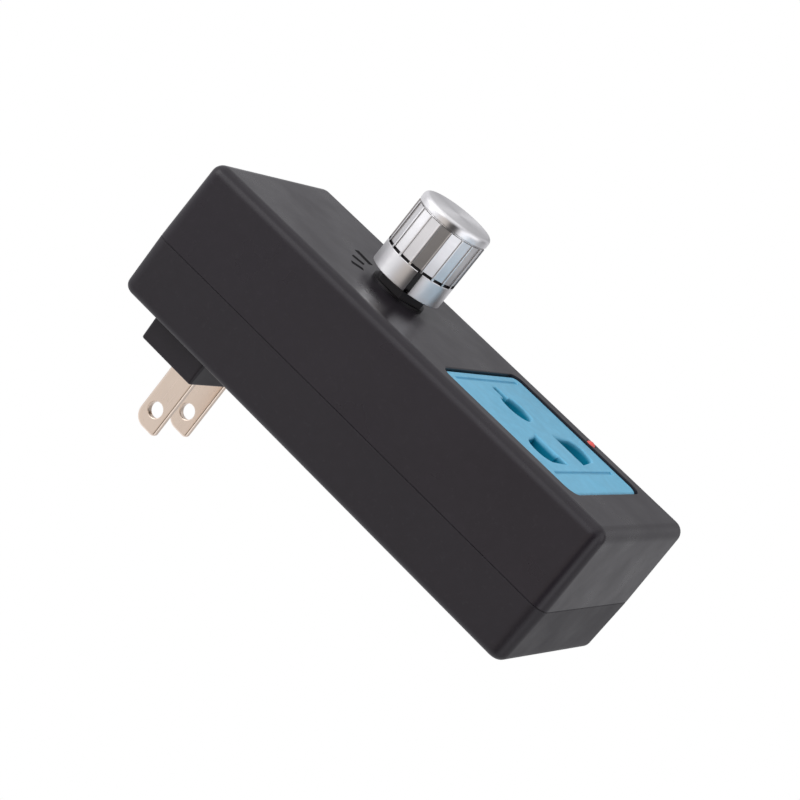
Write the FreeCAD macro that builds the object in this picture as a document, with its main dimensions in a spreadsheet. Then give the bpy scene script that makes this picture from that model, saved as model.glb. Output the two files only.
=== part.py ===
import FreeCAD, Part
import math
import os
import re

import Sketcher
from FreeCAD import Rotation, Vector

# Plug-in motor speed controller: a two-shell case with a two-blade plug on its back, a universal
# socket and a turning knob on its front, and a phase-control circuit inside.
# Row frame: X to the right seen from the front, Y from the front towards the outlet, Z up.
# Origin: middle of the plug block's flat face, between the two blades.
# Sub-parts are drawn as seen from the front: local x is X, local y is Z, local z points to the viewer.

# Driving dimensions in millimetres and degrees
SIZES = {
    # case
    "case_width": 47.0,
    "case_length": 106.4,
    "front_depth": 18.6,
    "rear_depth": 12.8,
    "case_wall": 2.2,
    "case_draft": 1.1,
    "corner_radius": 3.0,
    "front_edge_radius": 2.4,
    "rear_edge_radius": 2.0,
    "blade_to_top": 15.1,
    "lip_height": 1.2,
    "lip_width": 1.0,
    "seam_gap": 0.1,
    "seam_chamfer": 0.15,
    # screws that join the shells
    "screw_side_inset": 6.3,
    "screw_end_inset": 4.8,
    "screw_thread": 2.6,
    "screw_head": 4.8,
    "screw_head_height": 1.9,
    "screw_length": 12.0,
    "boss_diameter": 6.0,
    "tube_diameter": 7.0,
    "counterbore_depth": 8.0,
    "screw_play": 0.2,
    # plug block and blades
    "block_width": 35.4,
    "block_height": 14.9,
    "block_proud": 6.3,
    "block_draft": 2.0,
    "block_corner": 0.8,
    "block_edge_radius": 0.4,
    "blade_spacing": 12.7,
    "blade_width": 6.35,
    "blade_thickness": 1.5,
    "blade_length": 16.9,
    "blade_hole": 3.4,
    "blade_hole_height": 12.3,
    "blade_tip_radius": 1.7,
    "shoulder_width": 8.8,
    "shoulder_height": 3.0,
    "tab_width": 4.0,
    "tab_length": 4.4,
    "clamp_width": 28.0,
    "clamp_height": 9.4,
    "clamp_thickness": 3.0,
    "clamp_corner": 1.0,
    "clamp_screw_x": 11.4,
    "clamp_boss": 4.6,
    "small_thread": 2.0,
    "small_head": 3.6,
    "small_head_height": 1.4,
    "clamp_screw_length": 5.0,
    "fit_gap": 0.1,
    # knob
    "knob_place": 0.3506,
    "knob_diameter": 15.9,
    "knob_lift": 2.6,
    "knob_height": 16.8,
    "skirt_height": 4.8,
    "groove_width": 0.5,
    "groove_depth": 0.6,
    "rim_height": 1.9,
    "rim_groove": 0.3,
    "rim_radius": 0.9,
    "flute_count": 18,
    "flute_width": 2.2,
    "flute_depth": 0.35,
    "sleeve_wall": 1.5,
    "sleeve_top": 1.6,
    "pointer_width": 1.1,
    "pointer_angle": 210.0,
    "core_inset": 0.9,
    # potentiometer
    "shaft_diameter": 6.0,
    "shaft_flat": 1.5,
    "shaft_play": 0.05,
    "shaft_engagement": 9.0,
    "bushing_diameter": 7.0,
    "bushing_proud": 2.8,
    "flange_diameter": 17.0,
    "flange_thickness": 1.2,
    "can_depth": 6.0,
    "can_wall": 0.4,
    "track_thickness": 0.8,
    "rotor_diameter": 12.6,
    "rotor_thickness": 1.5,
    "rotor_gap": 0.5,
    "terminal_width": 1.0,
    "terminal_thickness": 0.4,
    "terminal_pitch": 5.0,
    "nut_flats": 10.0,
    "nut_thickness": 1.6,
    "washer_diameter": 12.0,
    "washer_thickness": 0.5,
    # socket
    "socket_margin": 5.5,
    "socket_height": 35.0,
    "socket_place": 0.7331,
    "socket_corner": 2.6,
    "socket_gap": 0.2,
    "socket_inset": 0.35,
    "socket_edge_radius": 0.8,
    "socket_depth": 10.0,
    "flange_lip": 1.6,
    "flange_lip_thickness": 1.6,
    "earth_hole": 7.2,
    "earth_rise": 7.2,
    "earth_flat": 2.8,
    "earth_slot_width": 2.2,
    "earth_slot_height": 6.0,
    "pin_inner": 4.1,
    "pin_height": 8.0,
    "pin_nose": 6.2,
    "pin_nose_x": 9.3,
    "pin_drop": 4.9,
    "panel_line_width": 0.5,
    "panel_line_depth": 0.3,
    "panel_line_length": 31.0,
    "panel_line_top": 2.2,
    "panel_line_bottom": 6.1,
    "base_width": 27.0,
    "base_height": 31.0,
    "base_depth": 11.0,
    "base_floor": 2.0,
    "contact_thickness": 0.5,
    "contact_width": 6.0,
    "contact_opening": 5.4,
    "contact_pinch": 2.4,
    "contact_depth": 8.0,
    "contact_tab": 2.4,
    "socket_screw_x": 8.5,
    "socket_screw_rise": 10.5,
    "socket_screw_length": 10.0,
    # lamp
    "led_diameter": 2.2,
    "led_below": 3.0,
    "led_proud": 0.5,
    "led_length": 5.6,
    "led_collar": 2.5,
    "led_collar_height": 0.8,
    "lead_diameter": 0.5,
    "led_lead_pitch": 1.2,
    # circuit board
    "board_margin": 4.5,
    "board_height": 41.0,
    "board_thickness": 1.6,
    "board_standoff": 9.6,
    "board_post": 5.0,
    "board_screw_inset": 2.8,
    "board_screw_length": 7.0,
    # power switch and cooler
    "triac_width": 10.0,
    "triac_height": 9.2,
    "triac_thickness": 4.5,
    "triac_tab_height": 15.5,
    "triac_tab_thickness": 1.3,
    "triac_gap": 0.6,
    "triac_x": 9.0,
    "triac_screw_length": 5.4,
    "triac_lead": 0.8,
    "triac_lead_pitch": 2.54,
    "triac_lead_length": 2.6,
    "sink_width": 19.0,
    "sink_height": 20.0,
    "sink_base": 1.5,
    "sink_fin": 1.2,
    "sink_fin_height": 6.4,
    # filter and small parts
    "choke_outer": 14.0,
    "choke_inner": 7.4,
    "choke_height": 5.4,
    "choke_wire": 0.9,
    "choke_x": 9.4,
    "choke_rise": 12.0,
    "choke_mouth": 6.0,
    "capacitor_width": 13.0,
    "capacitor_height": 6.0,
    "capacitor_depth": 9.0,
    "fuse_diameter": 3.6,
    "fuse_length": 10.0,
    "fuse_cap": 2.2,
    "resistor_diameter": 2.4,
    "resistor_length": 6.4,
    "diac_diameter": 1.9,
    "diac_length": 4.0,
    "lead_reach": 1.5,
    "lead_play": 0.1,
    # insulated leads
    "wire_diameter": 2.0,
    "wire_rise": 5.0,
    "wire_gap": 0.6,
    "wire_run": 10.0,
}

doc = FreeCAD.newDocument("speed_controller")
sheet = doc.addObject("Spreadsheet::Sheet", "sizes")
for line, (alias, number) in enumerate(SIZES.items(), 1):
    sheet.set(f"A{line}", alias)
    sheet.set(f"B{line}", str(number))
    sheet.setAlias(f"B{line}", alias)
doc.recompute()

NAME = re.compile(r"[a-z_]+")


def formula(text):
    """The formula with every size read from the sheet."""
    return NAME.sub(lambda m: "sizes." + m[0] if m[0] in SIZES else m[0], text)


def value(text):
    """The formula's number at the present sizes."""
    return float(sheet.evalExpression(formula(text)))


# Places that several pieces share, measured towards the viewer from the outlet face
PARTING = "(block_proud + rear_depth)"
FRONT = "(block_proud + rear_depth + front_depth)"
FRONT_INSIDE = "(block_proud + rear_depth + front_depth - case_wall)"
REAR_INSIDE = "(block_proud + case_wall)"
BOARD_FRONT = "(block_proud + rear_depth + front_depth - case_wall - board_standoff)"
BOARD_REAR = "(block_proud + rear_depth + front_depth - case_wall - board_standoff - board_thickness)"
SOCKET_FRONT = "(block_proud + rear_depth + front_depth - socket_inset)"
SOCKET_BACK = "(block_proud + rear_depth + front_depth - socket_inset - socket_depth)"
BASE_BACK = "(block_proud + rear_depth + front_depth - socket_inset - socket_depth - base_depth)"
MIDDLE = "(blade_to_top - case_length / 2)"
KNOB = "(blade_to_top - case_length * knob_place)"
SOCKET = "(blade_to_top - case_length * socket_place)"
SOCKET_WIDTH = "(case_width - 2 * socket_margin)"
BOARD_WIDTH = "(case_width - 2 * board_margin)"
LED_X = "(case_width / 2 - (socket_margin + case_wall) / 2 - 0.2)"
LED_HEIGHT = "(blade_to_top - case_length * socket_place - led_below)"
KNOB_FOOT = FRONT[:-1] + " + knob_lift)"
CHOKE = KNOB[:-1] + " - board_height / 2 + choke_rise)"

nodes = []
board_holes = []


def keep(item, label):
    """Name a finished sub-part."""
    item.Label = label
    nodes.append(item)
    return item


def place(item, x="0", height="0", out="0"):
    """Turn a piece drawn from the front into the row frame and set its origin."""
    item.Placement = FreeCAD.Placement(Vector(), Rotation(Vector(1, 0, 0), 90))
    item.setExpression("Placement.Base.x", formula(x))
    item.setExpression("Placement.Base.y", formula(f"-({out})"))
    item.setExpression("Placement.Base.z", formula(height))
    return item


def set_place(item, x="0", height="0", out="0"):
    """The same place for a piece whose shape is set by code."""
    base = Vector(value(x), -value(out), value(height))
    item.Placement = FreeCAD.Placement(base, Rotation(Vector(1, 0, 0), 90))
    return item


def drill(x, height, size):
    """Note a hole that the board needs for a lead."""
    board_holes.append((x, height, size))


# Sketches


def new_body(name, x="0", height="0", out="0"):
    return place(doc.addObject("PartDesign::Body", name), x, height, out)


def new_sketch(body, name, lift="0", x="0", y="0", plane="XY_Plane"):
    """A sketch on one of the body's planes, its origin moved in the plane and lifted off it."""
    drawing = body.newObject("Sketcher::SketchObject", name)
    support = next(f for f in body.Origin.OriginFeatures if f.Role == plane)
    drawing.AttachmentSupport = (support, [""])
    drawing.MapMode = "FlatFace"
    for axis, offset in zip("xyz", (x, y, lift)):
        drawing.setExpression(f"AttachmentOffset.Base.{axis}", formula(offset))
    return drawing


def bind(drawing, kind, *places, to):
    """A dimension between points of the sketch, bound to a formula."""
    index = drawing.addConstraint(Sketcher.Constraint(kind, *places, value(to)))
    drawing.renameConstraint(index, f"{kind.lower()}_{index}")
    drawing.setExpression(f"Constraints.{kind.lower()}_{index}", formula(to))


def draw_circle(drawing, diameter, x="0", y="0"):
    centre = Vector(value(x), value(y), 0)
    circle = drawing.addGeometry(Part.Circle(centre, Vector(0, 0, 1), value(diameter) / 2), False)
    if x == y == "0":
        drawing.addConstraint(Sketcher.Constraint("Coincident", circle, 3, -1, 1))
    else:
        bind(drawing, "DistanceX", -1, 1, circle, 3, to=x)
        bind(drawing, "DistanceY", -1, 1, circle, 3, to=y)
    bind(drawing, "Diameter", circle, to=diameter)


def draw_rounded(drawing, width, height, radius):
    """A rectangle with round corners, centred on the sketch's origin."""
    w = value(width) / 2
    h = value(height) / 2
    r = value(radius)
    corners = [(w - r, h - r, 0), (r - w, h - r, 90), (r - w, r - h, 180), (w - r, r - h, 270)]
    ends = []
    for x, y, start in corners:
        first = math.radians(start)
        circle = Part.Circle(Vector(x, y, 0), Vector(0, 0, 1), r)
        arc = drawing.addGeometry(Part.ArcOfCircle(circle, first, first + math.pi / 2), False)
        ends.append((arc, circle.value(first), circle.value(first + math.pi / 2)))
    sides = []
    for i, (arc, first, last) in enumerate(ends):
        following = ends[(i + 1) % 4]
        side = drawing.addGeometry(Part.LineSegment(last, following[1]), False)
        drawing.addConstraint(Sketcher.Constraint("Tangent", arc, 2, side, 1))
        drawing.addConstraint(Sketcher.Constraint("Tangent", side, 2, following[0], 1))
        drawing.addConstraint(Sketcher.Constraint("Vertical" if i % 2 else "Horizontal", side))
        if i:
            drawing.addConstraint(Sketcher.Constraint("Equal", arc, ends[0][0]))
        sides.append(side)
    top, left, bottom, right = sides
    drawing.addConstraint(Sketcher.Constraint("Symmetric", top, 1, bottom, 1, -1, 1))
    bind(drawing, "Radius", ends[0][0], to=radius)
    bind(drawing, "DistanceX", left, 1, right, 1, to=width)
    bind(drawing, "DistanceY", bottom, 1, top, 1, to=height)


def draw_outline(drawing, points):
    """A closed outline through points given as pairs of formulas."""
    spots = [Vector(value(x), value(y), 0) for x, y in points]
    lines = []
    for i, spot in enumerate(spots):
        lines.append(drawing.addGeometry(Part.LineSegment(spot, spots[(i + 1) % len(spots)]), False))
    for i, line in enumerate(lines):
        following = lines[(i + 1) % len(lines)]
        drawing.addConstraint(Sketcher.Constraint("Coincident", line, 2, following, 1))
        for kind, axis, text in (("DistanceX", -2, points[i][0]), ("DistanceY", -1, points[i][1])):
            if text == "0":
                drawing.addConstraint(Sketcher.Constraint("PointOnObject", line, 1, axis))
            else:
                bind(drawing, kind, -1, 1, line, 1, to=text)


def draw_box(drawing, width, height):
    """A plain rectangle centred on the sketch's origin."""
    x = f"({width}) / 2"
    y = f"({height}) / 2"
    draw_outline(drawing, [(f"-{x}", f"-{y}"), (x, f"-{y}"), (x, y), (f"-{x}", y)])


# Features


def checked(feature):
    doc.recompute()
    bad = {"Invalid", "Error"} & set(feature.State)
    if bad or feature.Shape.isNull():
        raise RuntimeError(f"{feature.Name} failed")
    return feature


def pad(body, drawing, length, back=False, taper=None, middle=False):
    """Add material along the sketch's normal, or against it."""
    feature = body.newObject("PartDesign::Pad", f"{drawing.Name}_pad")
    feature.Profile = drawing
    feature.setExpression("Length", formula(length))
    feature.Reversed = back
    if middle:
        feature.SideType = "Symmetric"
    if taper:
        feature.setExpression("TaperAngle", formula(f"-{taper}"))
    drawing.Visibility = False
    return checked(feature)


def pocket(body, drawing, length=None, forward=False, taper=None):
    """Cut against the sketch's normal, or along it; without a length, right through."""
    before = body.Tip.Shape.Volume
    feature = body.newObject("PartDesign::Pocket", f"{drawing.Name}_pocket")
    feature.Profile = drawing
    feature.Reversed = forward
    if length:
        feature.setExpression("Length", formula(length))
    else:
        feature.Type = "ThroughAll"
    if taper:
        feature.setExpression("TaperAngle", formula(f"-{taper}"))
    checked(feature)
    if feature.Shape.Volume > before - 1e-6:
        raise RuntimeError(f"{feature.Name} cuts nothing")
    return feature


def edges_at(shape, height, within=None):
    """Names of the edges that lie wholly at one local height."""
    names = []
    for number, edge in enumerate(shape.Edges, 1):
        box = edge.BoundBox
        level = abs(box.ZMin - height) < 1e-4 and abs(box.ZMax - height) < 1e-4
        if level and (within is None or within(edge)):
            names.append(f"Edge{number}")
    return names


def fillet(body, names, radius):
    base = body.Tip
    feature = body.newObject("PartDesign::Fillet", f"{base.Name}_fillet")
    feature.Base = (base, names)
    feature.setExpression("Radius", formula(radius))
    return checked(feature)


def chamfer(body, names, size):
    base = body.Tip
    feature = body.newObject("PartDesign::Chamfer", f"{base.Name}_chamfer")
    feature.Base = (base, names)
    feature.setExpression("Size", formula(size))
    return checked(feature)


# Simple solids for screws, pins and parts on the board


def cylinder(name, diameter, length, x="0", height="0", out="0"):
    """A round bar that starts at out and reaches towards the viewer."""
    item = doc.addObject("Part::Cylinder", name)
    item.setExpression("Radius", formula(f"({diameter}) / 2"))
    item.setExpression("Height", formula(length))
    return place(item, x, height, out)


def block(name, width, height, depth, x="0", z="0", out="0"):
    """A block centred on x and z that starts at out and reaches towards the viewer."""
    item = doc.addObject("Part::Box", name)
    item.setExpression("Length", formula(width))
    item.setExpression("Width", formula(height))
    item.setExpression("Height", formula(depth))
    return place(item, f"{x} - ({width}) / 2", f"{z} - ({height}) / 2", out)


def fused(name, items):
    item = doc.addObject("Part::MultiFuse", name)
    item.Shapes = items
    return checked(item)


def cut(name, base, tool):
    item = doc.addObject("Part::Cut", name)
    item.Base = base
    item.Tool = tool
    return checked(item)


def group(name, shapes):
    """Separate solids of one kind under one name."""
    item = doc.addObject("Part::Feature", name)
    item.Shape = Part.makeCompound(shapes)
    return set_place(item)


def screw_shape(thread, length, head, head_height, x, height, seat, forward=True):
    """A pan-head screw whose head rests on seat and whose point reaches forward or back."""
    way = 1 if forward else -1
    start = Vector(x, height, seat)
    shank = Part.makeCylinder(thread / 2, length - thread / 2, start, Vector(0, 0, way))
    point_start = start + Vector(0, 0, way * (length - thread / 2))
    point = Part.makeCone(thread / 2, thread / 6, thread / 2, point_start, Vector(0, 0, way))
    top = Part.makeCylinder(head / 2, head_height, start, Vector(0, 0, -way))
    rim = [e for e in top.Edges if abs(e.BoundBox.Center.z - (seat - way * head_height)) < 1e-4]
    top = top.makeFillet(head_height * 0.45, rim[:1])
    slot_long = head * 0.6
    slot_wide = head * 0.17
    cuts = []
    for wide, tall in ((slot_long, slot_wide), (slot_wide, slot_long)):
        low = seat - way * head_height if forward else seat + head_height * 0.45
        cuts.append(Part.makeBox(wide, tall, head_height * 0.55, Vector(x - wide / 2, height - tall / 2, low)))
    return shank.fuse([point, top]).cut(cuts).removeSplitter()


# Case


def corner_spots(x, top, bottom):
    return [(sign + x, level) for level in (top, bottom) for sign in ("-", "")]


SCREW_TOP = "(case_length / 2 - screw_end_inset)"
SCREW_SPOTS = corner_spots("(case_width / 2 - screw_side_inset)", SCREW_TOP, f"-{SCREW_TOP}")
BOARD_SCREW_X = f"({BOARD_WIDTH} / 2 - board_screw_inset)"
BOARD_SCREW_RISE = "(board_height / 2 - board_screw_inset)"
BOARD_SPOTS = [(f"-{BOARD_SCREW_X}", BOARD_SCREW_RISE), (BOARD_SCREW_X, f"-{BOARD_SCREW_RISE}")]


def draw_circles(drawing, diameter, spots):
    for x, y in spots:
        draw_circle(drawing, diameter, x, y)


def make_front_shell():
    body = new_body("front_shell", height=MIDDLE, out=PARTING)
    outline = new_sketch(body, "front_outline")
    draw_rounded(outline, "case_width", "case_length", "corner_radius")
    pad(body, outline, "front_depth", taper="case_draft")
    chamfer(body, edges_at(body.Tip.Shape, 0), "seam_chamfer")
    fillet(body, edges_at(body.Tip.Shape, value("front_depth")), "front_edge_radius")
    inside = new_sketch(body, "front_inside")
    draw_rounded(inside, "case_width - 2 * case_wall", "case_length - 2 * case_wall", "corner_radius - case_wall")
    pocket(body, inside, "front_depth - case_wall", forward=True, taper="case_draft")
    bosses = new_sketch(body, "front_bosses", lift="front_depth - case_wall")
    draw_circles(bosses, "boss_diameter", SCREW_SPOTS)
    pad(body, bosses, "front_depth - case_wall", back=True)
    posts = new_sketch(body, "board_posts", lift="front_depth - case_wall", y=f"{KNOB} - {MIDDLE}")
    draw_circles(posts, "board_post", BOARD_SPOTS)
    pad(body, posts, "board_standoff", back=True)
    rabbet = new_sketch(body, "front_rabbet")
    step = "2 * (case_wall - lip_width)"
    draw_rounded(rabbet, f"case_width - {step}", f"case_length - {step}", "corner_radius - case_wall + lip_width")
    pocket(body, rabbet, "lip_height + seam_gap", forward=True)
    pilots = new_sketch(body, "front_pilots")
    draw_circles(pilots, "screw_thread - 2 * fit_gap", SCREW_SPOTS)
    pocket(body, pilots, "front_depth - 2 * case_wall", forward=True)
    post_pilots = new_sketch(body, "post_pilots", lift="front_depth - case_wall - board_standoff",
                             y=f"{KNOB} - {MIDDLE}")
    draw_circles(post_pilots, "small_thread - 2 * fit_gap", BOARD_SPOTS)
    pocket(body, post_pilots, "board_standoff - case_wall / 2", forward=True)
    window = new_sketch(body, "socket_window", lift="front_depth", y=f"{SOCKET} - {MIDDLE}")
    draw_rounded(window, SOCKET_WIDTH, "socket_height", "socket_corner")
    pocket(body, window)
    shaft_hole = new_sketch(body, "shaft_hole", lift="front_depth", y=f"{KNOB} - {MIDDLE}")
    draw_circle(shaft_hole, "bushing_diameter + 2 * fit_gap")
    pocket(body, shaft_hole)
    lamp_hole = new_sketch(body, "lamp_hole", lift="front_depth", x=LED_X, y=f"{LED_HEIGHT} - {MIDDLE}")
    draw_circle(lamp_hole, "led_diameter + fit_gap")
    pocket(body, lamp_hole)
    keep(body, "front_shell")


def make_rear_shell():
    body = new_body("rear_shell", height=MIDDLE, out=PARTING)
    outline = new_sketch(body, "rear_outline")
    draw_rounded(outline, "case_width", "case_length", "corner_radius")
    pad(body, outline, "rear_depth", back=True, taper="case_draft")
    chamfer(body, edges_at(body.Tip.Shape, 0), "seam_chamfer")
    fillet(body, edges_at(body.Tip.Shape, -value("rear_depth")), "rear_edge_radius")
    plug = new_sketch(body, "plug_block", lift="-rear_depth", y=f"-{MIDDLE}")
    draw_rounded(plug, "block_width", "block_height", "block_corner")
    pad(body, plug, "block_proud", back=True, taper="block_draft")
    fillet(body, edges_at(body.Tip.Shape, -value("rear_depth + block_proud")), "block_edge_radius")
    inside = new_sketch(body, "rear_inside")
    draw_rounded(inside, "case_width - 2 * case_wall", "case_length - 2 * case_wall", "corner_radius - case_wall")
    pocket(body, inside, "rear_depth - case_wall", taper="case_draft")
    recess = new_sketch(body, "plug_recess", lift="case_wall - rear_depth", y=f"-{MIDDLE}")
    draw_rounded(recess, "clamp_width + 2 * fit_gap", "clamp_height + 2 * fit_gap", "clamp_corner")
    pocket(body, recess, "block_proud")
    tongue = new_sketch(body, "rear_tongue")
    step = "2 * (case_wall - lip_width + seam_gap)"
    draw_rounded(tongue, f"case_width - {step}", f"case_length - {step}", "corner_radius - case_wall + lip_width")
    draw_rounded(tongue, "case_width - 2 * case_wall", "case_length - 2 * case_wall", "corner_radius - case_wall")
    pad(body, tongue, "lip_height")
    tubes = new_sketch(body, "rear_tubes", lift="case_wall - rear_depth")
    draw_circles(tubes, "tube_diameter", SCREW_SPOTS)
    pad(body, tubes, "rear_depth - case_wall + lip_height")
    ribs = new_sketch(body, "press_ribs", lift="case_wall - rear_depth", y=f"{SOCKET} - {MIDDLE}")
    reach = "base_height / 2 - 3"
    for side in ("-", ""):
        centre = f"{side}(base_width / 2 - 3)"
        draw_outline(ribs, [(f"{centre} - case_wall / 3", f"-({reach}) - 3"), (f"{centre} + case_wall / 3", f"-({reach}) - 3"),
                            (f"{centre} + case_wall / 3", f"-({reach}) + 3"), (f"{centre} - case_wall / 3", f"-({reach}) + 3")])
    draw_outline(ribs, [("-case_wall / 3", f"{reach} - 2"), ("case_wall / 3", f"{reach} - 2"),
                        ("case_wall / 3", f"{reach} + 2"), ("-case_wall / 3", f"{reach} + 2")])
    pad(body, ribs, f"{BASE_BACK} - {REAR_INSIDE} - seam_gap")
    counterbores = new_sketch(body, "counterbores", lift="-rear_depth")
    draw_circles(counterbores, "screw_head + 2 * screw_play", SCREW_SPOTS)
    pocket(body, counterbores, "counterbore_depth", forward=True)
    holes = new_sketch(body, "screw_holes", lift="counterbore_depth - rear_depth")
    draw_circles(holes, "screw_thread + 2 * screw_play", SCREW_SPOTS)
    pocket(body, holes, forward=True)
    slots = new_sketch(body, "blade_slots", lift="-rear_depth - block_proud", y=f"-{MIDDLE}")
    wide = "(blade_thickness / 2 + fit_gap / 2)"
    tall = "(blade_width / 2 + fit_gap / 2)"
    for side in ("-", ""):
        centre = f"{side}blade_spacing / 2"
        draw_outline(slots, [(f"{centre} - {wide}", f"-{tall}"), (f"{centre} + {wide}", f"-{tall}"),
                             (f"{centre} + {wide}", tall), (f"{centre} - {wide}", tall)])
    pocket(body, slots, "case_wall + seam_gap", forward=True)
    clamp_bosses = new_sketch(body, "clamp_bosses", lift="case_wall - rear_depth - block_proud", y=f"-{MIDDLE}")
    spots = [("-clamp_screw_x", "0"), ("clamp_screw_x", "0")]
    draw_circles(clamp_bosses, "clamp_boss", spots)
    pad(body, clamp_bosses, "shoulder_height")
    clamp_pilots = new_sketch(body, "clamp_pilots", lift="case_wall + shoulder_height - rear_depth - block_proud",
                              y=f"-{MIDDLE}")
    draw_circles(clamp_pilots, "small_thread - 2 * fit_gap", spots)
    pocket(body, clamp_pilots, "shoulder_height + case_wall / 2")
    keep(body, "rear_shell")


def make_blade(label, side):
    """A flat blade: rounded tip with a hole, shoulders behind the wall, and a tab for the lead."""
    body = new_body(label, x=f"{side}blade_spacing / 2")
    outline = new_sketch(body, f"{label}_outline", plane="YZ_Plane")
    blade = "blade_width / 2"
    shoulder = "shoulder_width / 2"
    tab = "tab_width / 2"
    top = "(case_wall + shoulder_height)"
    half = [(blade, "-blade_length"), (blade, "case_wall"), (shoulder, "case_wall"), (shoulder, top),
            (tab, top), (tab, f"{top} + tab_length")]
    draw_outline(outline, half + [(f"-{x}", y) for x, y in reversed(half)])
    pad(body, outline, "blade_thickness", middle=True)
    tip = edges_at(body.Tip.Shape, -value("blade_length"), within=lambda e: e.Length < value("blade_thickness") * 1.01)
    fillet(body, tip, "blade_tip_radius")
    hole = new_sketch(body, f"{label}_hole", plane="YZ_Plane", y="-blade_hole_height", lift="-blade_thickness")
    draw_circle(hole, "blade_hole")
    pocket(body, hole, forward=True)
    keep(body, label)


def make_blade_clamp():
    body = new_body("blade_clamp", out="case_wall + shoulder_height")
    outline = new_sketch(body, "clamp_outline")
    draw_rounded(outline, "clamp_width", "clamp_height", "clamp_corner")
    pad(body, outline, "clamp_thickness")
    openings = new_sketch(body, "clamp_openings", lift="clamp_thickness")
    draw_circles(openings, "small_thread + 2 * screw_play", [("-clamp_screw_x", "0"), ("clamp_screw_x", "0")])
    wide = "(blade_thickness / 2 + fit_gap)"
    tall = "(tab_width / 2 + fit_gap)"
    for side in ("-", ""):
        centre = f"{side}blade_spacing / 2"
        draw_outline(openings, [(f"{centre} - {wide}", f"-{tall}"), (f"{centre} + {wide}", f"-{tall}"),
                                (f"{centre} + {wide}", tall), (f"{centre} - {wide}", tall)])
    pocket(body, openings)
    keep(body, "blade_clamp")


# Knob


def make_knob_sleeve():
    """Skirt, groove, fluted barrel and rim, turned in one piece and bored from below."""
    body = new_body("knob_sleeve", height=KNOB, out=KNOB_FOOT)
    profile = new_sketch(body, "sleeve_profile", plane="XZ_Plane")
    outer = "knob_diameter / 2"
    bore = "(knob_diameter / 2 - sleeve_wall)"
    rim = "(knob_height - rim_height)"
    draw_outline(profile, [
        (bore, "0"), (outer, "0"), (outer, "skirt_height"), (f"{outer} - groove_depth", "skirt_height"),
        (f"{outer} - groove_depth", "skirt_height + groove_width"), (outer, "skirt_height + groove_width"),
        (outer, f"{rim} - rim_groove"), (f"{outer} - groove_depth", f"{rim} - rim_groove"),
        (f"{outer} - groove_depth", rim), (outer, rim), (outer, "knob_height"), ("0", "knob_height"),
        ("0", "knob_height - sleeve_top"), (bore, "knob_height - sleeve_top")])
    turned = body.newObject("PartDesign::Revolution", "sleeve_turned")
    turned.Profile = profile
    turned.ReferenceAxis = (profile, ["V_Axis"])
    turned.Angle = 360
    checked(turned)
    fillet(body, edges_at(body.Tip.Shape, value("knob_height")), "rim_radius")
    flute = new_sketch(body, "flute", lift=f"{rim} - rim_groove / 2")
    depth = f"({outer} - flute_depth)"
    draw_outline(flute, [(depth, "-flute_width / 2"), (f"{outer} + 1", "-flute_width / 2"),
                         (f"{outer} + 1", "flute_width / 2"), (depth, "flute_width / 2")])
    flute.setExpression("AttachmentOffset.Rotation.Angle", formula("pointer_angle + 180 / flute_count"))
    cut_one = pocket(body, flute, f"{rim} - skirt_height - (rim_groove + groove_width) / 2")
    around = body.newObject("PartDesign::PolarPattern", "flutes")
    around.Originals = [cut_one]
    around.Axis = (flute, ["N_Axis"])
    around.Angle = 360
    around.setExpression("Occurrences", formula("flute_count"))
    body.Tip = around
    checked(around)
    notch = new_sketch(body, "pointer_slot")
    draw_outline(notch, [("0", "-pointer_width / 2"), ("knob_diameter", "-pointer_width / 2"),
                         ("knob_diameter", "pointer_width / 2"), ("0", "pointer_width / 2")])
    notch.setExpression("AttachmentOffset.Rotation.Angle", formula("pointer_angle"))
    pocket(body, notch, "skirt_height", forward=True)
    rim_notch = new_sketch(body, "rim_notch", lift=f"{rim} + rim_groove / 2")
    draw_outline(rim_notch, [(f"{outer} - groove_depth", "-pointer_width / 3"), ("knob_diameter", "-pointer_width / 3"),
                             ("knob_diameter", "pointer_width / 3"), (f"{outer} - groove_depth", "pointer_width / 3")])
    rim_notch.setExpression("AttachmentOffset.Rotation.Angle", formula("pointer_angle"))
    pocket(body, rim_notch, "(rim_height - rim_radius) * 0.8", forward=True)
    keep(body, "knob_sleeve")


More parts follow.
